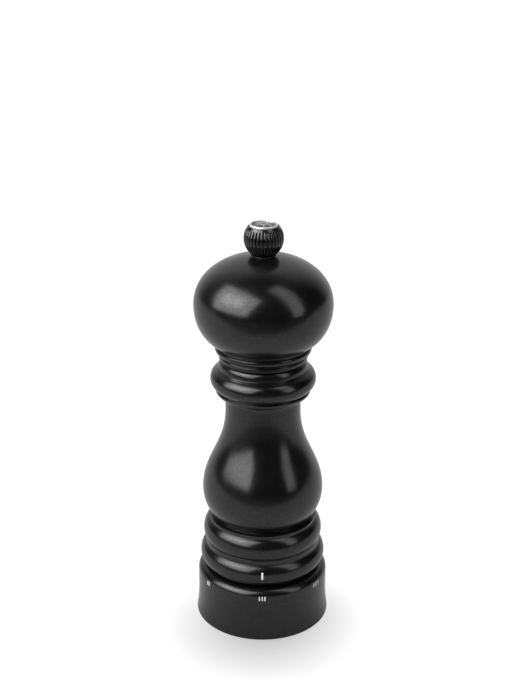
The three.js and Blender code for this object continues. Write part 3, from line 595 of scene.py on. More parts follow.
def body_inside():
    """Counterbore for the head's tenon, pepper bore and socket for the mechanism, going down."""
    foot, top = foot_z("body"), top_z("body")
    floor = foot_z("drive_plate") - 0.4 * MM
    socket_top = top_z("mechanism_housing") + GAP
    counterbore = TENON + GAP
    socket, bore = socket_radius(), pepper_bore()
    return joined((counterbore, top), (counterbore, floor), (bore, floor),
                  (bore, socket_top), (socket, socket_top), (socket, foot))


def socket_radius():
    """The housing's flange stands 4 mm outside the body's socket, less its own clearance."""
    return radius_of("mechanism_housing") - HOUSING_SEAT_IN


def pepper_bore():
    """Inside the bridge's seat, which is 3.9 mm wide, less the bridge's clearance."""
    return radius_of("bearing_bridge") - BRIDGE_SEAT_IN


def head_outline(sizes):
    """Tenon, foot, disc, cove and mushroom dome, then the shaft's hole back down."""
    tenon_foot, top = foot_z("head"), top_z("head")
    foot = top_z("body") + SEAM
    foot_top = foot + HEAD_FOOT_HEIGHT
    disc_top = foot_top + HEAD_DISC_HEIGHT
    root = disc_top + HEAD_COVE_HEIGHT
    widest = root + HEAD_RISE
    foot_out = crown_radius(sizes) - CROWN_ROUND + EDGE + HEAD_FOOT_OUT
    disc_out, cove = foot_out + HEAD_DISC_OUT, foot_out + HEAD_COVE_OUT
    root_out = cove + HEAD_ROOT_OUT
    wide, seat_r = sizes.head_radius, radius_of("knob_washer") + GAP
    seat = foot_z("knob_washer") - GAP
    reach = CROWN_SPREAD * (wide - seat_r)
    disc = bezier((foot_out - EDGE, foot_top), (disc_out + EDGE, (foot_top + disc_top) / 2),
                  (disc_out - EDGE, disc_top))
    under = bezier((root_out, root), (root_out + 4.6 * MM, root + 2.6 * MM),
                   (wide, widest - 0.5 * HEAD_RISE), (wide, widest))
    dome = bezier((wide, widest), (wide, widest + 0.5 * (top - widest)),
                  (seat_r + reach, top - CROWN_SLOPE * reach), (seat_r, top), count=80)
    shaft_hole, thread_hole = SHAFT_SIDE / math.sqrt(2) + GAP, SHAFT_ROUND + GAP
    step = top_z("drive_shaft") - SHAFT_THREAD + 1 * MM
    return joined((shaft_hole, tenon_foot), (TENON, tenon_foot), (TENON, foot),
                  (foot_out - EDGE, foot), (foot_out, foot + EDGE),
                  (foot_out, foot_top - EDGE), disc, (cove, disc_top + EDGE),
                  (cove, root - EDGE), under, dome, (seat_r, seat),
                  (thread_hole, seat), (thread_hole, step), (shaft_hole, step))


def ring_outline(sizes):
    """Foot, waist and rounded shoulder, then the ledge and the two steps of the bore."""
    top = top_z("adjuster_ring")
    foot, waist, rounding = sizes.foot_radius, sizes.waist_radius, sizes.ring_shoulder
    side = bezier((foot, EDGE), (waist, top / 4), (waist, top / 2))
    shoulder = arc((waist - rounding, top - rounding), (rounding, rounding), 0, 90)
    ledge, bore = socket_radius(), radius_of("mechanism_housing") + GAP
    recess = radius_of("lift_sleeve") + GAP
    ledge_z = top_z("detent_plunger") + GAP
    recess_z = 4.9 * MM
    return joined((recess, 0), (foot - EDGE, 0), side, shoulder, (ledge, top),
                  (ledge, ledge_z), (bore, ledge_z), (bore, recess_z), (recess, recess_z))


def bare_inside(piece, inner_radius):
    """Gives the faces within a radius the bare wood, since lacquer is sprayed outside only."""
    mesh = piece.data
    mesh.materials.append(finish_of("beech"))
    centres = np.empty(len(mesh.polygons) * 3)
    mesh.polygons.foreach_get("center", centres)
    centres = centres.reshape(-1, 3)
    inside = np.hypot(centres[:, 0], centres[:, 1]) < inner_radius(centres[:, 2])
    mesh.polygons.foreach_set("material_index", inside.astype(np.int32))


class MILL_OT_body(Operator):
    """Turn the body: outside mouldings, pepper bore and sockets"""

    bl_idname = "mill.body"
    bl_label = "Body"

    def execute(self, context):
        sizes = context.scene.mill_sizes
        outline = softened(joined(body_outside(sizes), body_inside()), sizes.edge)
        piece = place(turned("body_turned", outline), "case", "black_lacquer", ["body"])
        socket = socket_radius() + EDGE
        bore_top = top_z("mechanism_housing") + 1 * MM
        bare_inside(piece, lambda z: np.where(z < bore_top, socket, TENON + EDGE))
        return {"FINISHED"}


class MILL_OT_head(Operator):
    """Turn the mushroom head with its tenon"""

    bl_idname = "mill.head"
    bl_label = "Head"

    def execute(self, context):
        sizes = context.scene.mill_sizes
        outline = softened(head_outline(sizes), sizes.edge)
        piece = place(turned("head_turned", outline), "head_group", "black_lacquer", ["head"])
        foot = top_z("body")
        shaft_hole = SHAFT_SIDE / math.sqrt(2) + GAP + EDGE
        bare_inside(piece, lambda z: np.where(z < foot, TENON + EDGE, shaft_hole))
        return {"FINISHED"}


class MILL_OT_ring(Operator):
    """Turn the adjusting ring at the foot"""

    bl_idname = "mill.ring"
    bl_label = "Adjusting ring"

    def execute(self, context):
        sizes = context.scene.mill_sizes
        outline = softened(ring_outline(sizes), sizes.edge)
        place(turned("ring_turned", outline), "ring_group", "black_lacquer", ["adjuster_ring"])
        return {"FINISHED"}


# ---- Knob ----------------------------------------------------------------------------------


def knob_outline(sizes):
    """Ball, cut flat below and above, with a recess for the trim ring and the cap."""
    foot, top = foot_z("knob"), top_z("knob")
    flat, ball = sizes.knob_top, sizes.knob_radius
    recess = radius_of("knob_trim_ring") + GAP
    neck, bore = radius_of("knob_washer"), radius_of("knob_insert") + GAP
    centre = top - math.sqrt(ball ** 2 - flat ** 2)
    start = -math.degrees(math.acos(neck / ball))
    end = math.degrees(math.acos(flat / ball))
    floor, roof = foot_z("knob_cap") - GAP, top_z("knob_insert") + GAP
    skirt = foot - 0.2 * MM
    return joined((0, roof), (bore, roof), (bore, skirt), (neck, skirt),
                  arc((0, centre), (ball, ball), start, end, 90),
                  (recess, top), (recess, floor), (0, floor))


class MILL_OT_knob(Operator):
    """Mould the fluted ball knob, its trim ring, its cap and the plain inlay on the cap"""

    bl_idname = "mill.knob"
    bl_label = "Knob"

    def execute(self, context):
        sizes = context.scene.mill_sizes
        foot, top = foot_z("knob"), top_z("knob")
        bore = radius_of("knob_insert") + GAP

        def fluted(r, z, angle):
            """Narrow grooves between wide round ribs, which run out below the flat top."""
            rib = np.abs(np.sin(angle * sizes.flutes / 2)) ** 0.6
            fade = np.clip((z - foot - 0.2 * MM) / (1 * MM), 0, 1)
            fade = fade * np.clip((top - 1 * MM - z) / (0.4 * MM), 0, 1)
            return r - np.where(r > bore + EDGE, sizes.flute_depth * fade * (1 - rib), 0)

        outline = softened(knob_outline(sizes), sizes.edge / 2, closed=False)
        place(turned("knob_fluted", outline, 12 * sizes.flutes, fluted, closed=False),
              "knob_group", "black_moulding", ["knob"])
        self.trim_ring()
        self.cap()
        self.inlay()
        self.washer()
        self.insert()
        return {"FINISHED"}

    def trim_ring(self):
        """A round-topped ring: straight walls and a half circle over them."""
        low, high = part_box("knob_trim_ring")
        half = 0.45 * MM
        middle = high[0] - half
        crest = arc((middle, high[2] - half), (half, half), 0, 180)
        outline = joined((middle - half, low[2]), (middle + half, low[2]), crest)
        place(turned("knob_trim_bright", softened(outline, 0.06 * MM), ROUND_SMALL), "knob_group",
              "bright_trim", ["knob_trim_ring"])

    def cap_dome(self):
        """Outline of the cap's gentle dome, from its rim to its middle."""
        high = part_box("knob_cap")[1]
        rim = high[2] - 0.4 * MM
        return bezier((high[0], rim), (high[0] / 2, high[2]), (0, high[2]))

    def cap(self):
        low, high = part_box("knob_cap")
        outline = joined((0, low[2]), (high[0], low[2]), self.cap_dome())
        place(turned("knob_cap_domed", softened(outline, 0.08 * MM, closed=False), ROUND_SMALL,
                     closed=False), "knob_group", "black_moulding",
              ["knob_cap"])

    def inlay(self):
        """A thin ring and six short bars that radiate from it, flush with the cap's dome."""
        dome = self.cap_dome()[::-1]
        depth, proud = 0.1 * MM, 0.03 * MM
        ring_in, ring_out = 1.2 * MM, 1.6 * MM
        reach = np.linspace(ring_in, ring_out, 5)
        face = np.interp(reach, dome[:, 0], dome[:, 1])
        outline = joined(np.stack([reach, face - depth], 1),
                         np.stack([reach, face + proud], 1)[::-1])
        place(turned("cap_inlay_ring", outline, 64), "knob_group", "bright_trim")
        reach = np.linspace(ring_out + 0.3 * MM, 3.9 * MM, 9)
        face = np.interp(reach, dome[:, 0], dome[:, 1])
        half = 0.17 * MM
        side = np.array([-half, half, half, -half])
        level = np.array([-depth, -depth, proud, proud])
        section = np.stack([np.repeat(reach[:, None], 4, 1), np.repeat(side[None], 9, 0),
                            face[:, None] + level[None]], -1)
        caps = section.mean(axis=1, keepdims=True)[[0, -1]].repeat(4, axis=1)
        section = np.concatenate([caps[:1], section, caps[1:]])
        for i in range(6):
            turn = math.radians(30 + 60 * i)
            x = section[..., 0] * math.cos(turn) - section[..., 1] * math.sin(turn)
            y = section[..., 0] * math.sin(turn) + section[..., 1] * math.cos(turn)
            bar = grid_mesh(f"cap_inlay_bar_{i + 1}", np.stack([x, y, section[..., 2]], -1),
                            close_rows=False, close_columns=True)
            place(bar, "knob_group", "bright_trim")

    def washer(self):
        low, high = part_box("knob_washer")
        bore = SHAFT_ROUND + GAP
        outer = high[0] - 0.2 * MM
        outline = collar(bore, outer, low[2], high[2])
        place(turned("washer_moulded", softened(outline, 0.12 * MM), ROUND_SMALL),
              "washer_group", "dark_nylon", ["knob_washer"])

    def insert(self):
        """A knurled brass insert, threaded inside."""
        low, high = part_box("knob_insert")
        bore, outer = SHAFT_ROUND + 0.1 * MM, high[0]
        outline = divided(collar(bore, outer, low[2], high[2]), KNOB_PITCH / 8)

        def cut(r, z, angle):
            inside = r < bore + 0.1 * MM
            knurl = 0.12 * MM * np.abs(np.sin(24 * angle))
            return np.where(inside, bore + 0.3 * MM * thread(KNOB_PITCH, z, angle), r - knurl)

        place(turned("insert_threaded", outline, 144, cut), "knob_group", "brass", ["knob_insert"])


# ---- Shaft and mechanism -------------------------------------------------------------------


class MILL_OT_shaft(Operator):
    """Draw the square drive shaft with its threaded ends"""

    bl_idname = "mill.shaft"
    bl_label = "Drive shaft"

    def execute(self, context):
        low, high = foot_z("drive_shaft"), top_z("drive_shaft")
        square_low, square_high = foot_z("grinding_rotor"), high - SHAFT_THREAD
        half, end, bevel = SHAFT_SIDE / 2, SHAFT_ROUND, 0.4 * MM
        step = KNOB_PITCH / 8
        lower = divided(joined((end, low + bevel), (end, square_low)), step, closed=False)
        upper = divided(joined((end, square_high), (end, high - bevel)), step, closed=False)
        outline = joined((0, low), (end - bevel, low), lower, (half, square_low),
                         (half, square_high), upper, (end - bevel, high), (0, high))

        def bar(r, z, angle):
            cut = r - 0.3 * MM * thread(KNOB_PITCH, z, angle)
            r = np.where(np.isclose(r, end, atol=0.01 * MM), cut, r)
            return np.where(r > end + 0.05 * MM, squared(half, angle), r)

        place(turned("shaft_drawn", outline, 96, bar, closed=False), "drive", "shaft_aluminium",
              ["drive_shaft"])
        return {"FINISHED"}


TEETH = 18
BLADES = 6
TOOTH_DEPTH = 0.7 * MM
BLADE_DEPTH = 1.1 * MM
TOOTH_LEAN = 30.0  # radians per metre of height
CONE_R = 11 * MM
CONE_HEIGHT = 10 * MM
CONE_TAPER = 3.6 * MM
GRIND_GAP = 0.55 * MM
STATOR_GRIND_HEIGHT = 6.2 * MM


class MILL_OT_grinder(Operator):
    """Cut the toothed rotor and the toothed ring round it"""

    bl_idname = "mill.grinder"
    bl_label = "Grinder"

    def execute(self, context):
        self.rotor()
        self.stator()
        return {"FINISHED"}

    def rotor(self):
        """Saw teeth lean round a cone, with broad blades above them and a square hole."""
        low, high = foot_z("grinding_rotor"), top_z("grinding_rotor")
        wide = CONE_R
        cone_top = low + CONE_HEIGHT
        narrow = wide - CONE_TAPER
        top = SQUARE_HOLE * math.sqrt(2) + 0.35 * MM + BLADE_DEPTH
        outline = divided(joined((SQUARE_HOLE, low), (wide - EDGE, low), (wide, low + EDGE),
                                 (narrow, cone_top), (narrow - EDGE, cone_top + EDGE),
                                 (top, high), (SQUARE_HOLE, high)), 0.5 * MM)

        def toothed(r, z, angle):
            own = angle - TOOTH_LEAN * z
            fine = TOOTH_DEPTH * sawtooth(TEETH, own)
            broad = BLADE_DEPTH * sawtooth(BLADES, own)
            out = r - np.where(z < cone_top + EDGE / 2, fine, broad)
            bore = squared(SQUARE_HOLE, angle)
            inside = r < SQUARE_HOLE + 0.01 * MM
            return np.where(inside, bore, np.maximum(out, bore + 0.2 * MM))

        place(turned("rotor_toothed", outline, 12 * TEETH, toothed, twist=TOOTH_LEAN), "drive",
              "hard_steel", ["grinding_rotor"])

    def stator(self):
        """Saw teeth lean the other way inside a ring, which flares to a mouth above them."""
        low, high = foot_z("grinding_stator"), top_z("grinding_stator")
        outer = radius_of("grinding_stator")
        mouth, grind_top = outer - 1.5 * MM, low + STATOR_GRIND_HEIGHT
        slope = CONE_TAPER / CONE_HEIGHT
        base = foot_z("grinding_rotor")
        heights = np.array([low, grind_top])
        inner = CONE_R + GRIND_GAP - slope * (heights - base)
        flare = bezier((mouth, high), (inner[1] + 1 * MM, grind_top + 2 * MM),
                       (inner[1], grind_top), count=14)
        outline = divided(joined((inner[0], low), (outer, low), (outer, high), flare), 0.6 * MM)

        def toothed(r, z, angle):
            inside = (r < mouth - EDGE) & (z < grind_top + EDGE)
            own = angle + TOOTH_LEAN * z
            return r + np.where(inside, TOOTH_DEPTH * sawtooth(TEETH, own), 0)

        place(turned("stator_toothed", outline, 12 * TEETH, toothed, twist=-TOOTH_LEAN),
              "stator_group", "hard_steel", ["grinding_stator"])


LIFT_PITCH = 1.5 * MM
KEY_WIDTH = 3 * MM
KEY_OUT = 1 * MM


class MILL_OT_lifter(Operator):
    """Mould the stator's carrier and the threaded sleeve that lifts it"""

    bl_idname = "mill.lifter"
    bl_label = "Carrier and sleeve"

    def execute(self, context):
        self.carrier()
        self.sleeve()
        return {"FINISHED"}

    def carrier(self):
        """A cup with a lip under the stator, a thread outside and two keys above it."""
        low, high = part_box("stator_carrier")
        outer = high[0] - KEY_OUT
        bore = radius_of("grinding_stator") + GAP
        lip = radius_of("grinding_stator") - 2 * MM
        lip_top = low[2] + 1.5 * MM
        key_low = top_z("lift_sleeve") + 0.8 * MM
        outline = divided(joined((lip, low[2]), (outer, low[2]), (outer, high[2]),
                                 (bore, high[2]), (bore, lip_top), (lip, lip_top)),
                          LIFT_PITCH / 8)

        def keyed(r, z, angle):
            outside = r > outer - 0.01 * MM
            threaded = outside & (z > low[2] + 1 * MM) & (z < key_low - 0.5 * MM)
            key = outside & (z > key_low) & (np.abs(r * np.sin(angle)) < KEY_WIDTH / 2)
            groove = 0.25 * MM * thread(LIFT_PITCH, z, angle)
            return r + np.where(key, KEY_OUT, 0) - np.where(threaded, groove, 0)

        place(turned("carrier_moulded", outline, 240, keyed), "stator_group", "dark_nylon",
              ["stator_carrier"])

    def sleeve(self):
        """A flange for three screws and a tube threaded inside."""
        low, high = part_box("lift_sleeve")
        bore = radius_of("stator_carrier") - KEY_OUT + GAP
        wall, flange_top = bore + 3.6 * MM, low[2] + 2.4 * MM
        outline = divided(joined((bore, low[2]), (high[0], low[2]), (high[0], flange_top),
                                 (wall, flange_top), (wall, high[2]), (bore, high[2])),
                          LIFT_PITCH / 8)

        def threaded(r, z, angle):
            inside = r < bore + 0.01 * MM
            return r + np.where(inside, 0.25 * MM * thread(LIFT_PITCH, z, angle), 0)

        place(turned("sleeve_threaded", outline, 160, threaded), "ring_group", "dark_nylon",
              ["lift_sleeve"])


class MILL_OT_bearing(Operator):
    """Press the bridge, the bush, the drive plate, the washer and the nut"""

    bl_idname = "mill.bearing"
    bl_label = "Bearing and plates"

    def execute(self, context):
        self.bridge()
        self.bush()
        self.plate()
        self.rotor_washer()
        self.nut()
        return {"FINISHED"}

    def bridge(self):
        """A strip with a round eye.

        Its edge is the further of the hub's circle and the strip's side, within its reach.
        """
        low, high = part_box("bearing_bridge")
        eye = radius_of("shaft_bush") - 1.4 * MM + GAP
        hub, reach, arm = high[1], high[0], 5 * MM

        def strip(r, z, angle):
            side = arm / 2 / np.maximum(np.abs(np.sin(angle)), 1e-6)
            edge = np.maximum(np.minimum(side, reach), hub)
            return np.where(r > eye + 0.1 * MM, edge - (reach - r), r)

        bevel = 0.15 * MM
        outline = joined((eye, low[2]), (reach - bevel, low[2]), (reach, low[2] + bevel),
                         (reach, high[2] - bevel), (reach - bevel, high[2]), (eye, high[2]))
        place(turned("bridge_pressed", outline, 360, strip), "case", "plain_steel",
              ["bearing_bridge"])

    def bush(self):
        low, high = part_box("shaft_bush")
        flange_low = high[2] - 1.2 * MM
        sleeve = high[0] - 1.4 * MM
        outline = softened(joined((SQUARE_HOLE, low[2]), (sleeve, low[2]), (sleeve, flange_low),
                                  (high[0], flange_low), (high[0], high[2]),
                                  (SQUARE_HOLE, high[2])), 0.12 * MM)
        place(turned("bush_moulded", outline, ROUND_SMALL, self.square_bored), "drive",
              "pale_nylon", ["shaft_bush"])

    def plate(self):
        low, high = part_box("drive_plate")
        outline = softened(collar(SQUARE_HOLE, high[0], low[2], high[2]), 0.15 * MM)
        place(turned("drive_plate_pressed", outline, ROUND, self.square_bored), "head_group",
              "plain_steel", ["drive_plate"])

    def rotor_washer(self):
        low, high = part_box("rotor_washer")
        bore = SHAFT_ROUND + GAP
        outline = softened(collar(bore, high[0], low[2], high[2]), 0.15 * MM)
        place(turned("rotor_washer_pressed", outline, ROUND_SMALL), "drive", "plain_steel",
              ["rotor_washer"])

    def nut(self):
        """A hexagon cut back by a cone at both faces, threaded inside."""
        low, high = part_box("rotor_nut")
        flats, bore = high[0], SHAFT_ROUND + 0.1 * MM
        corner, cone = flats * 2 / math.sqrt(3), 0.45 * MM
        outline = divided(joined((bore, low[2]), (corner - cone, low[2]),
                                 (corner, low[2] + cone / 2), (corner, high[2] - cone / 2),
                                 (corner - cone, high[2]), (bore, high[2])), KNOB_PITCH / 8)

        def cut(r, z, angle):
            inside = r < bore + 0.01 * MM
            groove = 0.25 * MM * thread(KNOB_PITCH, z, angle)
            return np.where(inside, r + groove, np.minimum(r, hexagon(flats, angle)))

        place(turned("nut_threaded", outline, 96, cut), "drive", "plain_steel", ["rotor_nut"])

    @staticmethod
    def square_bored(r, z, angle):
        near = r < SQUARE_HOLE + 0.2 * MM
        return np.where(near, squared(SQUARE_HOLE, angle) + (r - SQUARE_HOLE), r)


class MILL_OT_springs(Operator):
    """Wind the pressure spring, the carrier's spring and the detent's spring"""

    bl_idname = "mill.springs"
    bl_label = "Springs"

    def execute(self, context):
        wire = 0.45 * MM
        self.wind("pressure_spring", "drive", wire, 4)
        carrier = self.wind("carrier_spring", "case", wire, 3)
        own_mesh(carrier)
        detent = self.wind("detent_spring", "case", 0.2 * MM, 3)
        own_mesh(detent)
        return {"FINISHED"}

    def wind(self, node, body, wire, turns):
        low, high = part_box(node)
        mean = (high[0] - low[0]) / 2 - wire
        coil = coiled(f"{node}_wound", mean, wire, low[2], high[2], turns, middle_of(node))
        return place(coil, body, "spring_steel", [node])


class MILL_OT_screws(Operator):
    """Turn the seven slotted screws"""

    bl_idname = "mill.screws"
    bl_label = "Screws"

    def execute(self, context):
        for body, kind, count in (("head_group", "drive_plate_screw", 2),
                                  ("ring_group", "lift_sleeve_screw", 3),
                                  ("case", "bridge_screw", 2)):
            for i in range(count):
                self.screw(f"{kind}_{i + 1}", body)
        return {"FINISHED"}

    def screw(self, node, body):
        """A slotted head below, then a tapering thread.

        The slot's edge is the nearer of its straight side and a circle inside the rim.
        """
        low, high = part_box(node)
        head, shank, depth = (high[0] - low[0]) / 2, 1.1 * MM, 0.45 * MM
        head_top = low[2] + 0.9 * MM
        slot, rim = 0.25 * MM, 0.85 * head
        core = divided(joined((shank, head_top), (shank, high[2] - 1.2 * MM),
                              (0.25 * MM, high[2])), 0.1 * MM, closed=False)
        outline = joined((0, low[2] + depth), (rim, low[2] + depth), (rim, low[2]),
                         (head - 0.15 * MM, low[2]), (head, low[2] + 0.15 * MM),
                         (head, head_top), core, (0, high[2]))

        def cut(r, z, angle):
            side = slot / np.maximum(np.abs(np.sin(angle)), 1e-6)
            r = np.where(np.isclose(r, rim, atol=1e-7), np.minimum(side, rim), r)
            groove = 0.25 * MM * thread(0.8 * MM, z, angle)
            return np.where((z > head_top) & (r > 0), np.maximum(r - groove, 0.1 * MM), r)

        place(turned(f"{node}_slotted", outline, 48, cut, closed=False, centre=middle_of(node)),
              body, "plain_steel", [node])


class MILL_OT_detent(Operator):
    """Turn the round-nosed detent plunger"""

    bl_idname = "mill.detent"
    bl_label = "Detent plunger"

    def execute(self, context):
        low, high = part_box("detent_plunger")
        r = (high[0] - low[0]) / 2
        nose = arc((0, high[2] - 0.7 * r), (r, 0.7 * r), 0, 90)
        outline = joined((0, low[2]), (r, low[2]), nose)
        place(turned("plunger_turned", softened(outline, 0.08 * MM, closed=False), 48,
                     closed=False, centre=middle_of("detent_plunger")), "detent_group",
              "plain_steel", ["detent_plunger"])
        return {"FINISHED"}


class MILL_OT_housing(Operator):
    """Give the housing its nylon: its own solid already has the keyways and the pocket"""

    bl_idname = "mill.housing"
    bl_label = "Housing"

    def execute(self, context):
        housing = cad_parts["mechanism_housing"]
        housing.data.materials.clear()
        housing.data.materials.append(finish_of("dark_nylon"))
        return {"FINISHED"}


# ---- Marks ---------------------------------------------------------------------------------


def outside_at(outline, heights):
    """Radius of an outline's outer side at each height."""
    order = np.argsort(outline[:, 1], kind="stable")
    return np.interp(heights, outline[order, 1], outline[order, 0])


def printed_bar(name, outline, middle, width, low, high, ink=0.035 * MM):
    """A bar of ink on a turned face: a closed strip from low to high that follows the outline.

    Rows run up the face and columns run round the bar's section: out over the ink and back
    inside the lacquer.
    """
    heights = np.linspace(low, high, 9)
    face = outside_at(outline, heights)
    half = width / 2 / face.mean()
    across = np.linspace(-half, half, 5)
    angle = np.r_[across, across[::-1]] + math.radians(middle)
    lift = np.r_[np.full(5, ink), np.full(5, -ink)]
    r = face[:, None] + lift[None, :]
    z = np.repeat(heights[:, None], 10, axis=1)
    points = np.stack([r * np.cos(angle), r * np.sin(angle), z], -1)
    ends = points.mean(axis=1, keepdims=True)[[0, -1]].repeat(10, axis=1)
    points = np.concatenate([ends[:1], points, ends[1:]])
    return grid_mesh(name, points, close_rows=False, close_columns=True)


FRONT = -90  # degrees round the axis, where the index stands
SETTINGS = 6
SETTING_AT_REST = 3
SETTING_SPACING = 56  # degrees
BAR_WIDTH = 0.48 * MM
BAR_PITCH = 1.2 * MM
BAR_HEIGHTS = 19.4 * MM, 21.4 * MM
INDEX_WIDTH = 0.8 * MM
INDEX_HEIGHTS = 29.3 * MM, 32.5 * MM


class MILL_OT_marks(Operator):
    """Print the index line on the body and the six settings on the ring"""

    bl_idname = "mill.marks"
    bl_label = "Index and settings"

    def execute(self, context):
        sizes = context.scene.mill_sizes
        foot = foot_z("body")
        body = body_outside(sizes)
        body = body[body[:, 1] < foot + LOWER_BEAD_HEIGHT]
        bar = printed_bar("index_line", body, FRONT, INDEX_WIDTH, *INDEX_HEIGHTS)
        place(bar, "case", "white_print")
        ring = ring_outline(sizes)
        ring = ring[(ring[:, 0] > sizes.waist_radius - 1 * MM)]
        pitch = BAR_PITCH / sizes.waist_radius
        for setting in range(1, SETTINGS + 1):
            front = FRONT + SETTING_SPACING * (setting - SETTING_AT_REST)
            for i in range(setting):
                middle = front + math.degrees(pitch * (i - (setting - 1) / 2))
                bar = printed_bar(f"setting_{setting}_bar_{i + 1}", ring, middle, BAR_WIDTH,
                                  *BAR_HEIGHTS)
                place(bar, "ring_group", "white_print")
        return {"FINISHED"}


# ---- Studio --------------------------------------------------------------------------------


def look_at(thing, target):
    """Turns a light so that it faces a point."""
    way = np.array(target) - np.array(thing.location)
    flat = math.hypot(way[0], way[1])
    thing.rotation_euler = (math.atan2(flat, -way[2]), 0, math.atan2(-way[0], way[1]))


# Each light's place, its width and height, and its power in watts
SOFTBOXES = [
    ("key_softbox", (-0.63, -0.4, 0.65), (1.2, 0.95), 14),
    ("key_centre", (-0.64, -0.36, 0.68), (0.6, 0.42), 2.6),  # hot middle of the key
    ("side_strip", (0.66, -0.42, 0.76), (0.38, 1.6), 3.4),
]
CAMERA_AT = (0, -0.5158, 0.3295)
CAMERA_DOWN = 21.63  # degrees below level
CAMERA_ROLL = -0.27
CAMERA_LENS = 67.4
CAMERA_SHIFT = -0.0058


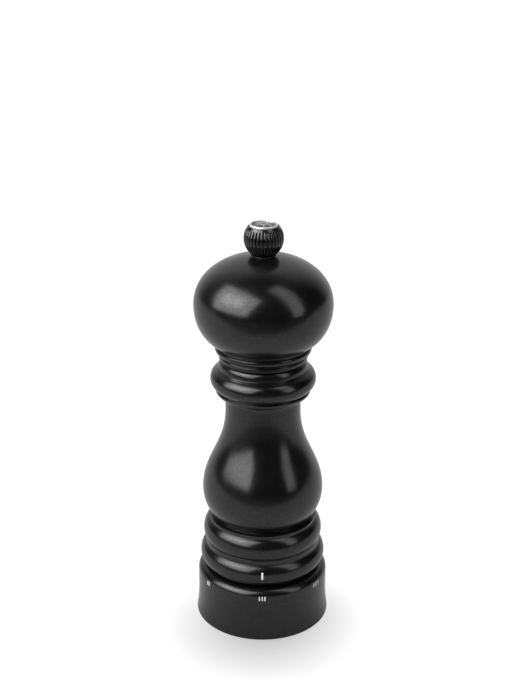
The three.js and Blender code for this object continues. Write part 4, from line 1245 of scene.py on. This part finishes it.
class MILL_OT_stage(Operator):
    """Set the camera, the pale floor and the soft lights"""

    bl_idname = "mill.stage"
    bl_label = "Studio"

    def execute(self, context):
        scene = context.scene
        scene.view_settings.view_transform = "Standard"
        self.camera(scene)
        self.floor(scene)
        for name, where, size, power in SOFTBOXES:
            self.softbox(name, where, size, power)
        self.surround(scene)
        return {"FINISHED"}

    def camera(self, scene):
        lens = bpy.data.cameras.new("camera")
        lens.lens = CAMERA_LENS
        camera = bpy.data.objects.new("camera", lens)
        camera.location = CAMERA_AT
        camera.rotation_euler = (math.radians(90 - CAMERA_DOWN), math.radians(CAMERA_ROLL), 0)
        lens.shift_x = CAMERA_SHIFT
        scene.collection.objects.link(camera)
        scene.camera = camera

    def floor(self, scene):
        """A wide disc, level with the foot: a glowing light table, with a painted shadow close in
        front of the mill.

        In the lacquer it is little over half as bright as to the camera, and fades out from
        0.2 to 0.3 m before the mill.
        """
        finish, tree, shader, place_in = new_finish("pale_floor", scene.mill_finish.floor, 0.9)
        mottle = noise(tree, place_in, 0.4, detail=1.0)
        tree.links.new(spread(tree, mottle, 0.88, 0.94), shader.inputs["Roughness"])
        shader.inputs["Specular IOR Level"].default_value = 0.1
        # Painted shadow: the floor's glow is dimmed from 1.0 to 0.42 towards a point 18 mm in
        # front of the axis, in place of the mill's own shadow on the floor.
        shade = add_node(tree, "ShaderNodeVectorMath", {"operation": "SUBTRACT"}, i0=place_in,
                         i1=(0, -18 * MM, 0))
        away = add_node(tree, "ShaderNodeVectorMath", {"operation": "LENGTH"}, i0=shade.outputs[0])
        glow_with_painted_shadow = spread(tree, away.outputs["Value"], 0.42, 1.0, 8 * MM, 52 * MM)
        parts = add_node(tree, "ShaderNodeSeparateXYZ", Vector=place_in)
        near = spread(tree, parts.outputs["Y"], 0, 0.58, -290 * MM, -190 * MM)
        seen = add_node(tree, "ShaderNodeLightPath").outputs["Is Camera Ray"]
        share_seen = add_node(tree, "ShaderNodeMath", {"operation": "MAXIMUM"}, i0=near,
                              i1=seen).outputs[0]
        glow = add_node(tree, "ShaderNodeMath", {"operation": "MULTIPLY"}, i0=glow_with_painted_shadow, i1=share_seen)
        tree.links.new(glow.outputs[0], shader.inputs["Emission Strength"])
        shader.inputs["Emission Color"].default_value = (1, 1, 1, 1)
        outline = np.array([(0, -0.0001), (0.5, -0.0001), (4, -0.0001)])[::-1]
        disc = turned("studio_floor", outline, 96, closed=False)
        disc.data.materials.append(finish)

    def softbox(self, name, where, size, power):
        lamp = bpy.data.lights.new(name, "AREA")
        lamp.shape = "RECTANGLE"
        lamp.size, lamp.size_y = size
        lamp.energy = power
        box = bpy.data.objects.new(name, lamp)
        box.location = where
        look_at(box, (0, 0, 0.1))
        bpy.context.scene.collection.objects.link(box)

    def surround(self, scene):
        """A white sweep behind the mill, 50 degrees to each side and 65 high, in a dark room."""
        world = bpy.data.worlds.new("studio")
        scene.world = world
        world.use_nodes = True
        tree = world.node_tree
        tree.nodes.clear()
        way = add_node(tree, "ShaderNodeTexCoord").outputs["Generated"]
        parts = add_node(tree, "ShaderNodeSeparateXYZ", Vector=way)
        aside = add_node(tree, "ShaderNodeMath", {"operation": "ABSOLUTE"}, i0=parts.outputs["X"])
        lean = add_node(tree, "ShaderNodeMath", {"operation": "SUBTRACT"}, i0=parts.outputs["Y"],
                        i1=aside.outputs[0])
        behind = spread(tree, lean.outputs[0], 0, 1, -0.45, 0.35)
        below = spread(tree, parts.outputs["Z"], 1, 0, 0.82, 0.98)
        white = add_node(tree, "ShaderNodeMath", {"operation": "MULTIPLY"}, i0=behind,
                         i1=below).outputs[0]
        room = blend_colours(tree, white, (0.03, 0.03, 0.03), (0.72, 0.72, 0.72))
        seen = add_node(tree, "ShaderNodeLightPath").outputs["Is Camera Ray"]
        shown = add_node(tree, "ShaderNodeMix", {"data_type": "RGBA"}, i0=seen, i6=room)
        shown.inputs[7].default_value = (1, 1, 1, 1)
        light = add_node(tree, "ShaderNodeBackground", Color=shown.outputs[2], Strength=1.0)
        out = add_node(tree, "ShaderNodeOutputWorld")
        tree.links.new(light.outputs[0], out.inputs[0])


# ---- Add-on --------------------------------------------------------------------------------


STEPS = [MILL_OT_stage, MILL_OT_body, MILL_OT_head, MILL_OT_ring, MILL_OT_knob, MILL_OT_marks,
         MILL_OT_shaft, MILL_OT_grinder, MILL_OT_lifter, MILL_OT_bearing, MILL_OT_springs,
         MILL_OT_screws, MILL_OT_detent, MILL_OT_housing]


class MILL_PT_panel(Panel):
    """Lists the pieces of the mill"""

    bl_idname = "MILL_PT_panel"
    bl_label = "Pepper mill"
    bl_space_type = "VIEW_3D"
    bl_region_type = "UI"
    bl_category = "Mill"

    def draw(self, context):
        for step in STEPS:
            self.layout.operator(step.bl_idname)


CLASSES = [MillSizes, MillFinish, *STEPS, MILL_PT_panel]


def register():
    for made in CLASSES:
        bpy.utils.register_class(made)
    bpy.types.Scene.mill_sizes = PointerProperty(type=MillSizes)
    bpy.types.Scene.mill_finish = PointerProperty(type=MillFinish)


def unregister():
    del bpy.types.Scene.mill_finish
    del bpy.types.Scene.mill_sizes
    for made in reversed(CLASSES):
        bpy.utils.unregister_class(made)


def main():
    register()
    bpy.ops.mill.stage()
    bpy.ops.mill.body()
    bpy.ops.mill.head()
    bpy.ops.mill.ring()
    bpy.ops.mill.knob()
    bpy.ops.mill.marks()
    bpy.ops.mill.shaft()
    bpy.ops.mill.grinder()
    bpy.ops.mill.lifter()
    bpy.ops.mill.bearing()
    bpy.ops.mill.springs()
    bpy.ops.mill.screws()
    bpy.ops.mill.detent()
    bpy.ops.mill.housing()


if __name__ == "__main__":
    main()
